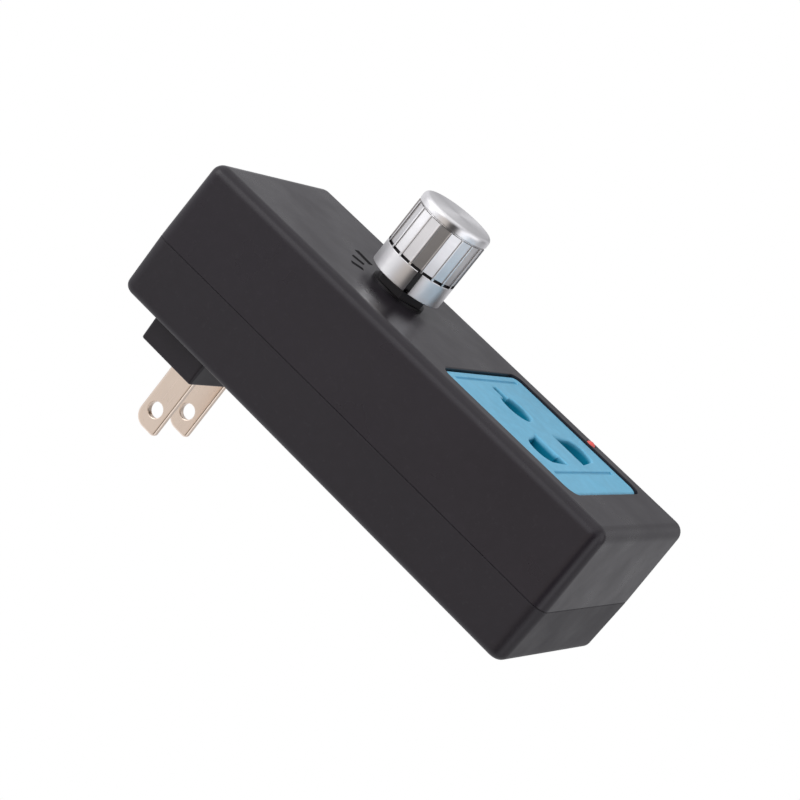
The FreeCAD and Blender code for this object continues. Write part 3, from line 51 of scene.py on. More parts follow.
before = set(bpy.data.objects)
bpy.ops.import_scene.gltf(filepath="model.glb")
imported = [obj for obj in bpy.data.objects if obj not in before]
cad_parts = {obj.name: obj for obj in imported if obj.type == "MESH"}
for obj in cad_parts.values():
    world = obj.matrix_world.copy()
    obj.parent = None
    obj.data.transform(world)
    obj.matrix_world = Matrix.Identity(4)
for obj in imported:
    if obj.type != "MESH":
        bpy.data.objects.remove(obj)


# What the solids say


def reach(node):
    """The node's box in millimetres: lowest and highest x, z and w."""
    low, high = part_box(node)
    return np.array([low.x, low.z, -high.y]) * 1000, np.array([high.x, high.z, -low.y]) * 1000


def middle(node):
    """The centre of the node's box, as x and z in millimetres."""
    low, high = reach(node)
    return (low + high)[:2] / 2


CASE_LOW, CASE_HIGH = reach("front_shell")
SLEEVE_LOW, SLEEVE_HIGH = reach("knob_sleeve")
FACE_LOW, FACE_HIGH = reach("socket_face")
BLADE_LOW, BLADE_HIGH = reach("blade_right")
LENS_LOW, LENS_HIGH = reach("led_lens")
SCREW_LOW, SCREW_HIGH = reach("case_screws")
CASE_X, CASE_Z = middle("front_shell")
KNOB_X, KNOB_Z = KNOB = middle("knob_sleeve")
SOCKET_X, SOCKET_Z = middle("socket_face")
LENS_X, LENS_Z = middle("led_lens")
LENS_COLLAR = (LENS_HIGH - LENS_LOW)[0] / 2
CASE_WIDTH, CASE_HEIGHT = (CASE_HIGH - CASE_LOW)[:2]
PARTING, FRONT = CASE_LOW[2], CASE_HIGH[2]
LIP = reach("rear_shell")[1][2]


# Closed loops in the x, z plane


def polar(radius, angle, x=0.0, z=0.0):
    """Points (x + r cos a, z + r sin a)."""
    return np.column_stack([x + radius * np.cos(angle), z + radius * np.sin(angle)])


def circle(radius, x=0.0, z=0.0, count=72):
    """A full turn of points."""
    return polar(radius, np.arange(count) * 2 * np.pi / count, x, z)


def bore(radius, x, z):
    """A screw hole's, post's or boss's circle."""
    return circle(radius, x, z, 48)


def rounded(width, height, radius, x=0.0, z=0.0, steps=10, rest=0.35):
    """Rectangle with arcs c + r (cos a, sin a) at its corners, and a point at rest beyond each
    arc's ends."""
    points = []
    turn = np.radians(np.linspace(0, 90, steps + 1))
    for quarter, (sx, sz) in enumerate(((1, 1), (-1, 1), (-1, -1), (1, -1))):
        angle = turn + quarter * np.pi / 2
        arc = polar(radius, angle, sx * (width / 2 - radius), sz * (height / 2 - radius))
        along = rest * np.column_stack([-np.sin(angle), np.cos(angle)])
        points += [arc[:1] - along[:1], arc, arc[-1:] + along[-1:]]
    return np.concatenate(points) + [x, z]


def grow(loop, by):
    """Loop p + by (n1 + n2) / (1 + n1 . n2), with n1 and n2 the outward normals of the edges that
    meet at p. The distance by is one number or one for each point."""
    edge = np.roll(loop, -1, 0) - loop
    normal = np.column_stack([edge[:, 1], -edge[:, 0]]) / np.linalg.norm(edge, axis=1)[:, None]
    before = np.roll(normal, 1, 0)
    by = np.broadcast_to(by, len(loop))[:, None]
    return loop + by * (normal + before) / (1 + (normal * before).sum(1))[:, None]


def lobed(width, height, z, away, levels, radius, steps=20):
    """Rectangle round the level z, whose two ends go round the bosses at (+-away, levels): the
    arcs are c + r (cos a, sin a)."""
    points = []
    for way, level in zip((1, -1), levels):
        end = z + way * height / 2
        rise = abs(end - level)
        first = math.atan2(rise, math.sqrt(radius**2 - rise**2))
        angle = np.linspace(first, -math.pi - first, steps)
        arcs = [polar(way * radius, angle, way * place, level) for place in (away, -away)]
        points += [[[way * width / 2, end]], *arcs, [[-way * width / 2, end]]]
    return np.concatenate(points)


def at(loop, w):
    """The loop at the distance w from the outlet's face."""
    return np.column_stack([loop, np.broadcast_to(w, len(loop))])


def lathe(profile, x, z):
    """A profile (r, w) carried round the axis at x and z, as one circle for each of its points."""
    return [at(bore(r, x, z), w) for r, w in profile]


def inside(points, loops):
    """Whether each point lies inside an odd number of loops."""
    crossings = np.zeros(len(points), int)
    px, pz = points[:, :1], points[:, 1:]
    for a in loops:
        b = np.roll(a, -1, 0)
        spans = (a[:, 1] > pz) != (b[:, 1] > pz)
        rise = np.where(b[:, 1] == a[:, 1], 1.0, b[:, 1] - a[:, 1])
        crossings += (spans & (px < a[:, 0] + (b[:, 0] - a[:, 0]) * (pz - a[:, 1]) / rise)).sum(1)
    return crossings % 2 == 1


# Surfaces


def rounding(radius, steps=5):
    """A rounded edge's distances from its wall and its face: r (1 - sin a) and r (1 - cos a)."""
    angle = np.radians(np.linspace(0, 90, steps + 1))
    return [(radius * (1 - math.sin(a)), radius * (1 - math.cos(a))) for a in angle]


class Surface:
    """A piece's points in millimetres and its faces."""

    def __init__(self):
        self.points, self.faces, self.marks, self.count = [], [], [], 0

    def add(self, points, faces, mark=0):
        """Points and the faces between them, with a material's index."""
        points = np.asarray(points, float).reshape(-1, 3)
        faces = (np.asarray(faces) + self.count).tolist()
        self.points.append(points)
        self.faces += faces
        self.marks += np.broadcast_to(np.ravel(mark), len(faces)).tolist()
        self.count += len(points)

    def skin(self, rings, mark=0, closed=True):
        """Quads between points j and j + 1 of loops i and i + 1."""
        rings = np.asarray(rings, float)
        rows, columns = rings.shape[:2]
        i, j = np.meshgrid(np.arange(rows - 1), np.arange(columns - (not closed)), indexing="ij")
        low, high = i * columns, (i + 1) * columns
        k = (j + 1) % columns
        self.add(rings, np.stack([low + j, low + k, high + k, high + j], -1).reshape(-1, 4), mark)

    def plate(self, loops, w, mark=0):
        """The flat face inside an odd number of the loops, in Delaunay triangles."""
        edges, start = [], 0
        for loop in loops:
            edges += [(start + n, start + (n + 1) % len(loop)) for n in range(len(loop))]
            start += len(loop)
        corners = [Vector(p) for p in np.concatenate(loops)]
        found = delaunay_2d_cdt(corners, edges, [], 0, 1e-5)
        spots = np.array([tuple(v) for v in found[0]])
        triangles = np.array(found[2])
        self.add(at(spots, w), triangles[inside(spots[triangles].mean(1), loops)], mark)

    def cap(self, ring, mark=0):
        """A bulging loop of 3-D points closed by triangles round its middle."""
        count = len(ring)
        fan = [(n, (n + 1) % count, count) for n in range(count)]
        self.add(np.vstack([ring, ring.mean(0)]), fan, mark)

    def wall(self, loop, first, last):
        """A straight wall between two levels."""
        self.skin([at(loop, first), at(loop, last)])

    def pilot(self, radius, x, z, face, floor):
        """A blind hole's wall and flat bottom."""
        self.wall(bore(radius, x, z), face, floor)
        self.cap(at(bore(radius, x, z), floor))

    def post(self, radius, x, z, base, top, floor):
        """A round post whose screw hole goes down from its top to the floor."""
        self.wall(bore(radius, x, z), base, top)
        self.plate([bore(radius, x, z), bore(SMALL_PILOT, x, z)], top)
        self.pilot(SMALL_PILOT, x, z, top, floor)

    def opening(self, loop, face, floor, radius, rest=0.15):
        """An opening's wall, from the face over an edge rounded by radius, one number or one for
        each point, to the floor. It gives back the outline on the face."""
        way = 1 if face > floor else -1
        outline = grow(loop, radius + rest)
        rings = [at(outline, face)]
        rings += [at(grow(loop, out), face - way * down) for out, down in rounding(radius)]
        self.skin(rings + [at(loop, face - way * (radius + rest)), at(loop, floor)])
        return outline

    def build(self, name, body, stands_for, materials, sharp=32.0):
        """The mesh object, in metres, with doubles merged and faces outward."""
        x, z, w = np.concatenate(self.points).T / 1000
        mesh = bpy.data.meshes.new(name)
        mesh.from_pydata(np.column_stack([x, -w, z]).tolist(), [], self.faces)
        mesh.polygons.foreach_set("material_index", self.marks)
        work = bmesh.new()
        work.from_mesh(mesh)
        bmesh.ops.remove_doubles(work, verts=work.verts, dist=4e-7)
        bmesh.ops.dissolve_degenerate(work, edges=work.edges, dist=1e-8)
        bmesh.ops.recalc_face_normals(work, faces=work.faces)
        work.to_mesh(mesh)
        work.free()
        mesh.shade_smooth()
        mesh.set_sharp_from_angle(angle=math.radians(sharp))
        for material in materials:
            mesh.materials.append(material)
        piece = bpy.data.objects.new(name, mesh)
        bpy.context.scene.collection.objects.link(piece)
        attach(piece, body)
        if stands_for:
            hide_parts(stands_for)
        return piece


# Materials


def add_node(tree, kind, links=(), **settings):
    """A node with its settings; numbers in links set a socket and sockets are linked to it."""
    made = tree.nodes.new("ShaderNode" + kind)
    for key, setting in settings.items():
        setattr(made, key, setting)
    for socket, source in dict(links).items():
        if isinstance(source, bpy.types.NodeSocket):
            tree.links.new(source, made.inputs[socket])
        else:
            made.inputs[socket].default_value = source
    return made


class Finish:
    """A material's nodes, with object coordinates to start from."""

    def __init__(self, name, roughness, metallic=0.0, **constants):
        self.material = bpy.data.materials.new(name)
        self.material.use_nodes = True
        self.tree = self.material.node_tree
        self.shader = self.tree.nodes["Principled BSDF"]
        self.shader.inputs["Roughness"].default_value = roughness
        self.shader.inputs["Metallic"].default_value = metallic
        for key, number in constants.items():
            self.shader.inputs[key.replace("_", " ")].default_value = number
        self.place = self.node("TexCoord").outputs["Object"]

    def node(self, kind, links=(), **settings):
        return add_node(self.tree, kind, links, **settings)

    def noise(self, scale, detail=3.0, place=None, roughness=0.55):
        links = {"Vector": place or self.place, "Scale": scale, "Detail": detail}
        return self.node("TexNoise", {**links, "Roughness": roughness}).outputs["Fac"]

    def vector(self, operation, source, by):
        """A sum or product of a vector and a constant one."""
        return self.node("VectorMath", {0: source, 1: by}, operation=operation).outputs[0]

    def maths(self, operation, *sources):
        return self.node("Math", dict(enumerate(sources)), operation=operation).outputs[0]

    def about(self, axis):
        """X, Y and Z of the coordinates, counted from an axis along y at x and z."""
        moved = self.vector("ADD", self.place, (-axis[0] / 1000, 0, -axis[1] / 1000))
        return self.node("SeparateXYZ", {0: moved}).outputs

    def ramp(self, source, *stops):
        """Colours between the stops, given as (place, colour)."""
        made = self.node("ValToRGB", {"Fac": source})
        for element, (place, colour) in zip(made.color_ramp.elements, stops):
            element.position = place
            element.color = (*colour, 1)
        return made.outputs["Color"]

    def map(self, source, low, high, to_low, to_high):
        ends = {"From Min": low, "From Max": high, "To Min": to_low, "To Max": to_high}
        return self.node("MapRange", {"Value": source, **ends}).outputs["Result"]

    def mix(self, factor, *colours):
        """The first colour going over to the second."""
        a, b = (c if isinstance(c, bpy.types.NodeSocket) else (*c, 1) for c in colours)
        return self.node("Mix", {0: factor, 6: a, 7: b}, data_type="RGBA").outputs[2]

    def bump(self, height, distance, strength=1.0, under=None):
        links = {"Height": height, "Distance": distance, "Strength": strength}
        if under:
            links["Normal"] = under
        return self.node("Bump", links).outputs["Normal"]

    def use(self, **sources):
        """The material, with the sources linked to the shader."""
        for key, source in sources.items():
            self.tree.links.new(source, self.shader.inputs[key.replace("_", " ")])
        return self.material


def shade(colour, by):
    return tuple(c * by for c in colour)


def moulded(name, colour, roughness, grain=8e-6, size=2600.0, dust=0.05, deep=None, specular=0.37):
    """Moulded plastic: spark-eroded grain, slow cloudiness in tone and gloss, and a little dust in
    the grain. With deep, (w, colour), the colour goes over to the deeper one below w, as painted
    shade in the recesses."""
    f = Finish(name, roughness, Specular_IOR_Level=specular)
    fine = f.noise(size, 2.0)
    tone = f.ramp(f.noise(38.0, 4.0), (0.25, shade(colour, 0.92)), (0.75, shade(colour, 1.1)))
    tone = f.mix(f.map(f.noise(430.0, 4.0), 0.42, 0.66, 0.0, 0.4), tone, shade(colour, 1.22))
    specks = f.map(f.noise(size * 0.45, 1.0), 0.62, 0.8, 0.0, dust)
    tone = f.mix(specks, tone, tuple(c * 0.75 + 0.08 for c in colour))
    # Painted shade: below the level w the colour goes over to the darker, deeper one
    if deep:
        y = f.node("SeparateXYZ", {0: f.place}).outputs["Y"]
        start, over = -deep[0] / 1000, 0.0009
        tone = f.mix(f.map(y, start, start + over, 0.0, 1.0), tone, deep[1])
    gloss = f.map(f.noise(90.0, 5.0), 0.3, 0.7, roughness - 0.05, roughness + 0.06)
    normal = f.bump(f.noise(70.0, 2.0), 0.00004, 0.5, f.bump(fine, grain))
    return f.use(Base_Color=tone, Roughness=gloss, Normal=normal)


def drawn_metal(name, colour, roughness, stretch, scratch=6e-6, tint=0.06):
    """Drawn or rolled metal: long streaks along one axis, worn patches and a few dark specks."""
    f = Finish(name, roughness, 1.0)
    streaks = f.noise(1.0, 4.0, f.vector("MULTIPLY", f.place, stretch), 0.7)
    dark, pale = shade(colour, 1 - tint), shade(colour, 1 + tint)
    tone = f.ramp(f.noise(160.0, 4.0), (0.3, dark), (0.7, pale))
    tone = f.mix(f.map(streaks, 0.3, 0.7, 0.0, 0.14), tone, shade(colour, 0.82))
    tone = f.mix(f.map(f.noise(900.0, 2.0), 0.7, 0.82, 0.0, 0.4), tone, shade(colour, 0.6))
    gloss = f.map(streaks, 0.3, 0.7, roughness - 0.04, roughness + 0.06)
    return f.use(Base_Color=tone, Roughness=gloss, Normal=f.bump(streaks, scratch))


def turned_metal(name, colour, roughness, pitch, scratch=4e-6, drawn_out=0.0):
    """Turned metal: fine rings around the knob's axis, from noise over the distance to it, and
    reflections drawn out across the rings by drawn_out."""
    f = Finish(name, roughness, 1.0, Anisotropic=drawn_out, Anisotropic_Rotation=0.25)
    f.use(Tangent=f.node("Tangent", direction_type="RADIAL", axis="Y").outputs["Tangent"])
    x, y, z = f.about(KNOB)
    flat = f.node("CombineXYZ", {"X": x, "Z": z}).outputs[0]
    away = f.node("VectorMath", {0: flat}, operation="LENGTH").outputs["Value"]
    along = f.node("CombineXYZ", {"X": away, "Y": y}).outputs[0]
    rings = f.noise(1 / pitch, 3.0, along, 0.75)
    tone = f.ramp(f.noise(140.0, 3.0), (0.3, shade(colour, 0.92)), (0.7, shade(colour, 1.06)))
    tone = f.mix(f.map(rings, 0.3, 0.7, 0.0, 0.12), tone, shade(colour, 0.78))
    gloss = f.map(rings, 0.3, 0.7, roughness - 0.03, roughness + 0.05)
    return f.use(Base_Color=tone, Roughness=gloss, Normal=f.bump(rings, scratch))


def lamp_plastic(dark, pale):
    """Clear cast resin with a faint cloud and the chip's red light showing through."""
    f = Finish("lamp_red", 0.16, Transmission_Weight=0.35, IOR=1.53, Emission_Strength=0.12)
    f.shader.inputs["Emission Color"].default_value = (1.0, 0.16, 0.12, 1)
    tone = f.ramp(f.noise(900.0, 3.0), (0.3, dark), (0.7, pale))
    return f.use(Base_Color=tone, Normal=f.bump(f.noise(1500.0, 2.0), 6e-6))


def laminate():
    """Green lacquered board with copper-backed tracks showing through and a fine woven texture."""
    f = Finish("board_lacquer", 0.36, Coat_Weight=0.4, Coat_Roughness=0.15)
    cells = {"Vector": f.place, "Scale": 210.0}
    cells = f.node("TexVoronoi", cells, distance="MANHATTAN", feature="F1").outputs["Distance"]
    tracks = f.map(cells, 0.32, 0.36, 0.0, 1.0)
    tone = f.mix(tracks, (0.03, 0.17, 0.07), (0.015, 0.1, 0.045))
    weave = f.noise(1.0, 2.0, f.vector("MULTIPLY", f.place, (2600, 2600, 900)))
    tone = f.mix(f.map(weave, 0.4, 0.6, 0.0, 0.3), tone, (0.05, 0.2, 0.1))
    return f.use(Base_Color=tone, Normal=f.bump(tracks, 0.00003, 0.4, f.bump(weave, 8e-6)))


def wound_copper(axis):
    """Enamelled copper: turns side by side around the ring, from a wave over the angle about its
    axis."""
    f = Finish("winding_copper", 0.26, 1.0, Coat_Weight=0.6, Coat_Roughness=0.1)
    x, y, z = f.about(axis)
    turns = f.maths("SINE", f.maths("MULTIPLY", f.maths("ARCTAN2", z, x), 46.0))
    tone = f.ramp(f.map(turns, -1, 1, 0, 1), (0.0, (0.16, 0.035, 0.012)), (0.6, (0.62, 0.2, 0.07)))
    return f.use(Base_Color=tone, Normal=f.bump(turns, 0.00025, 0.8))


def banded_resistor():
    """Tan lacquer with colour bands across the body, from the distance along x."""
    f = Finish("resistor_lacquer", 0.35)
    wave = {"Vector": f.place, "Scale": 260.0, "Distortion": 0.0}
    wave = f.node("TexWave", wave, wave_type="BANDS", bands_direction="X").outputs["Fac"]
    tone = f.mix(f.map(wave, 0.82, 0.88, 0.0, 1.0), (0.55, 0.36, 0.18), (0.22, 0.04, 0.02))
    return f.use(Base_Color=tone, Normal=f.bump(f.noise(1500.0, 2.0), 0.00001))


# Settings


def length(name, description, default):
    """A length, whose default is given here in millimetres."""
    return FloatProperty(
        name=name, description=description, default=default / 1000, unit="LENGTH", precision=5)


def lengths(name, description, *default):
    """Three lengths, whose defaults are given here in millimetres."""
    return FloatVectorProperty(
        name=name, description=description, default=[number / 1000 for number in default],
        unit="LENGTH", precision=5)


def angle_of(name, description, default):
    """An angle, whose default is given here in degrees."""
    return FloatProperty(
        name=name, description=description, default=math.radians(default), subtype="ANGLE")


def colour_of(name, description, *default):
    """A colour, in linear red, green and blue."""
    return FloatVectorProperty(
        name=name, description=description, default=default, subtype="COLOR", min=0, max=1)


class CaseSettings(bpy.types.PropertyGroup):
    """Sizes and colours of the two case shells."""

    draft: angle_of("Draft", "Lean of the walls", 1.1)
    corner: length("Corner radius", "Radius of the case's long edges", 3.0)
    wall: length("Wall", "Wall thickness", 2.2)
    front_edge: length("Front edge", "Radius around the front face", 2.4)
    rear_edge: length("Rear edge", "Radius around the back face", 1.86)
    seam: length("Seam chamfer", "Chamfer on both sides of the parting line", 0.15)
    screw_x: length("Screw inset", "From the case's side to a screw", 6.3)
    screw_z: length("Screw end inset", "From the case's end to a screw", 4.8)
    block: lengths("Plug block", "Width, height and how far it stands proud", 35.4, 14.9, 6.3)
    window: lengths("Socket window", "Width, height and corner radius", 36.0, 35.0, 2.6)
    colour: colour_of("Colour", "Colour of the front shell", 0.0148, 0.0119, 0.0158)
    rear_colour: colour_of("Rear colour", "Colour of the rear shell", 0.014, 0.0114, 0.015)


class KnobSettings(bpy.types.PropertyGroup):
    """Sizes and colours of the knob's sleeve."""

    skirt: length("Skirt", "Height of the plain skirt", 4.8)
    groove: length("Lower groove", "Width of the groove above the skirt", 0.5)
    depth: length("Groove depth", "Depth of both grooves", 0.6)
    rim: length("Rim", "Height of the plain rim", 1.9)
    upper_groove: length("Upper groove", "Width of the groove below the rim", 0.3)
    rim_edge: length("Rim edge", "Radius around the top", 0.9)
    flutes: IntProperty(name="Flutes", description="Number of flat flutes", default=18)
    flute_width: length("Flute width", "Width of a flute", 2.2)
    flute_depth: length("Flute depth", "Depth of a flute's flat", 0.35)
    pointer: angle_of("Pointer", "Direction of the pointer slot, seen from the front", 210)
    slot: length("Pointer width", "Width of the pointer slot", 1.1)
    colour: colour_of("Colour", "Colour of the bright turned metal", 0.935, 0.93, 0.935)
    # Painted shade: a darker metal on the flutes' side walls and at their upper ends, where shade
    # falls
    wall_shade_colour: colour_of("Dull colour", "Colour beside the flutes", 0.5, 0.485, 0.485)
    # Painted shade: a near-black for the lower groove and the skirt's top ledge, where shade falls
    groove_shade_colour: colour_of("Grime", "Colour of the dirt in the lower groove", 0.012, 0.01, 0.011)


class ScaleSettings(bpy.types.PropertyGroup):
    """Sizes and colour of the scale printed above the knob."""

    start: length("Start", "From the knob's axis to the bars", 8.5)
    end: length("End", "From the knob's axis to the end of a bar", 11.4)
    long_end: length("Long end", "From the knob's axis to the end of the middle bar", 13.1)
    width: length("Width", "Width of a bar", 1.35)
    long_width: length("Long width", "Width of the middle bar", 1.6)
    colour: colour_of("Colour", "Colour of the ink", 0.004, 0.0036, 0.0042)


class SocketSettings(bpy.types.PropertyGroup):
    """Sizes and colours of the socket's face."""

    height: length("Height", "Height of the face without its ledges", 34.6)
    corner: length("Corner radius", "Radius of the corners", 2.4)
    edge: length("Edge radius", "Radius around the face", 0.8)
    mouth: length("Opening edge", "Radius around the openings", 0.34)
    line: length("Panel line", "Width of the two sunk lines", 0.8)
    colour: colour_of("Colour", "Colour of the face", 0.14, 0.435, 0.625)
    # Painted shade inside the openings and the panel lines
    recess_shade_colour: colour_of("Deep colour", "Colour inside the openings and lines", 0.0, 0.2, 0.33)


class LampSettings(bpy.types.PropertyGroup):
    """Sizes and colours of the lamp's lens."""

    radius: length("Radius", "Radius of the lens", 1.1)
    rise: length("Dome", "Height of the dome", 0.9)
    colour: colour_of("Colour", "Colour of the lens", 0.9, 0.16, 0.14)
    dark_colour: colour_of("Dark colour", "Colour of the clouds in the lens", 0.62, 0.05, 0.05)


class BladeSettings(bpy.types.PropertyGroup):
    """Sizes and colour of the plug's blades."""

    place: length("Place", "From the middle of the plug to a blade", 6.35)
    hole: length("Hole", "Diameter of the hole near the tip", 3.4)
    hole_w: length("Hole distance", "From the outlet's face to the hole's centre", 12.3)
    tip: length("Upper tip radius", "Radius of the tip's upper corner", 2.9)
    tip_low: length("Lower tip radius", "Radius of the tip's lower corner", 0.9)
    edge: length("Edge radius", "Radius along the blade's edges", 0.5)
    colour: colour_of("Colour", "Colour of the plated metal", 0.97, 0.82, 0.69)


class StageSettings(bpy.types.PropertyGroup):
    """Camera, light and floor."""

    camera: lengths("Camera", "Camera position", -429.18, -144.07, -195.32)
    lens: FloatProperty(
        name="Lens", description="Focal length for a sensor 36 mm wide", default=110.33,
        unit="CAMERA")
    floor: length("Floor", "Height of the floor", -550)
    floor_colour: colour_of("Floor colour", "Colour of the floor's paper", 0.82, 0.82, 0.82)
    ambient: FloatProperty(
        name="Ambient", description="Strength of the studio's own light", default=0.62)


class ControllerSettings(bpy.types.PropertyGroup):
    """All settings of the part."""

    case: PointerProperty(type=CaseSettings, name="Case", description="The case shells")
    knob: PointerProperty(type=KnobSettings, name="Knob", description="The knob's sleeve")
    scale: PointerProperty(type=ScaleSettings, name="Scale", description="The printed scale")
    socket: PointerProperty(type=SocketSettings, name="Socket", description="The socket's face")
    lamp: PointerProperty(type=LampSettings, name="Lamp", description="The lamp's lens")
    blade: PointerProperty(type=BladeSettings, name="Blade", description="The plug's blades")
    stage: PointerProperty(type=StageSettings, name="Stage", description="Camera, light and floor")


def settings(name):
    """A group's settings, with its lengths in millimetres."""
    group = getattr(bpy.context.scene.controller, name)
    read = {}
    for key in group.__annotations__:
        read[key] = getattr(group, key)
        if group.bl_rna.properties[key].unit == "LENGTH":
            read[key] = np.array(read[key]) * 1000
    return SimpleNamespace(**read)


# The case. Holes and bosses are given by their radii. A wall has one more loop a FOOT past its
# first edge, and one a BORDER further in on the flat, past its rounded edge.

BORDER, FOOT = 0.02, 0.25
COUNTERBORE, COUNTERBORE_DEPTH = 2.6, 8.0
SCREW_HOLE, SCREW_PILOT, SMALL_PILOT, SHAFT_HOLE = 1.5, 1.2, 0.9, 3.6
FRONT_BOSS, REAR_BOSS, BOARD_POST, CLAMP_BOSS = 3.0, 3.5, 2.5, 2.3
TONGUE_INSET, LIP_GAP = 1.3, 0.1
BLOCK_DRAFT, BLOCK_CORNER, BLOCK_EDGE = math.radians(2.0), 0.8, 0.4
SLOT_WIDTH, SLOT_HEIGHT, SLOT_CORNER = 1.6, 6.45, 0.15
CLAMP_ROOM = (28.2, 9.6, 1.0)


def screw_spots(case):
    """Distance of the case screws from the middle, and their two levels."""
    rise = CASE_HEIGHT / 2 - case.screw_z
    return CASE_WIDTH / 2 - case.screw_x, (CASE_Z + rise, CASE_Z - rise)


def screw_corners(case):
    """The four case screws' places."""
    away, levels = screw_spots(case)
    return [(x, z) for x in (away, -away) for z in levels]


def case_outline(case):
    """The case's outline at the parting line."""
    return rounded(CASE_WIDTH, CASE_HEIGHT, case.corner, CASE_X, CASE_Z, 12)


def cavity(case, boss, rise):
    """The room's outline at rise from the parting line, led round the screws' bosses."""
    inset = 2 * (case.wall + rise * math.tan(case.draft))
    return lobed(CASE_WIDTH - inset, CASE_HEIGHT - inset, CASE_Z, *screw_spots(case), boss)


def drafted(outline, start, end, draft, edge, foot, run, steps):
    """Loops of a wall: the (inset, rise) rows of foot, then the outline drawn in by its rise times
    tan(draft) up to run below the rounded edge, and an arc c + r (cos a, sin a) onto the end. It
    also gives back how far in the last loop is."""
    way = 1 if end > start else -1
    height = abs(end - start)
    centre = height - edge
    inset = centre * math.tan(draft) + edge / math.cos(draft)
    rows = foot + [((centre - run) * math.tan(draft), centre - run)]
    for angle in np.linspace(draft, math.pi / 2, steps):
        rows.append((inset - edge * math.cos(angle), centre + edge * math.sin(angle)))
    rows.append((inset + BORDER, height))
    return [at(grow(outline, -i), start + way * rise) for i, rise in rows], inset + BORDER


def shell_wall(case, end, edge):
    """A shell's outer wall, from the chamfer at the seam to its flat face."""
    rises = (case.seam, case.seam + FOOT)
    foot = [(case.seam, 0.0)] + [(rise * math.tan(case.draft), rise) for rise in rises]
    return drafted(case_outline(case), PARTING, end, case.draft, edge, foot, run=0.4, steps=9)


def add_front_shell():
    """The front shell. Outside, loops of the case's outline drawn in by (w - parting) tan(draft),
    then over an arc c + r (cos a, sin a) onto the face, whose window, lamp hole and shaft hole
    have rounded edges. Inside, the same outline drawn in by the wall and led round the four screw
    bosses."""
    case = settings("case")
    shape = Surface()
    outline = case_outline(case)
    wall, inset = shell_wall(case, FRONT, case.front_edge)
    shape.skin(wall)
    window = rounded(*case.window, SOCKET_X, SOCKET_Z, 10)
    window_edge, edge_by_lamp, lamp_edge, shaft_edge, lamp_fit = 0.3, 0.12, 0.1, 0.15, 0.1
    across = [SOCKET_X, window[:, 0].max()]
    edges = np.interp(window[:, 0], across, [window_edge, edge_by_lamp])
    lamp = circle(LENS_COLLAR - lamp_fit, LENS_X, LENS_Z, 40)
    shaft = circle(SHAFT_HOLE, KNOB_X, KNOB_Z)
    floor = FRONT - case.wall
    edged = ((window, edges), (lamp, lamp_edge), (shaft, shaft_edge))
    holes = [shape.opening(loop, FRONT, floor, edge, rest=0.01) for loop, edge in edged]
    shape.plate([grow(outline, -inset)] + holes, FRONT)

    shelf = LIP + LIP_GAP
    rim = grow(outline, LIP_GAP - TONGUE_INSET)
    room, opened = (cavity(case, FRONT_BOSS, w - PARTING) for w in (floor, shelf))
    shape.skin([at(opened, shelf), at(room, floor)])
    shape.plate([grow(outline, -case.seam), rim], PARTING)
    shape.wall(rim, PARTING, shelf)
    corners = screw_corners(case)
    shape.plate([rim, opened] + [bore(SCREW_PILOT, x, z) for x, z in corners], shelf)
    for x, z in corners:
        shape.pilot(SCREW_PILOT, x, z, shelf, FRONT - 2 * case.wall)

    post_x, post_z, post_height = 16.2, 17.7, 9.6
    posts = []
    for way in (-1, 1):
        x, z = way * post_x, KNOB_Z - way * post_z
        posts.append(bore(BOARD_POST, x, z))
        shape.post(BOARD_POST, x, z, floor, floor - post_height, floor - case.wall / 2)
    shape.plate([room, window, lamp, shaft] + posts, floor)
    plastic = moulded("case_plastic", case.colour, 0.3)
    shape.build("front_shell_skin", "case", "front_shell", [plastic])


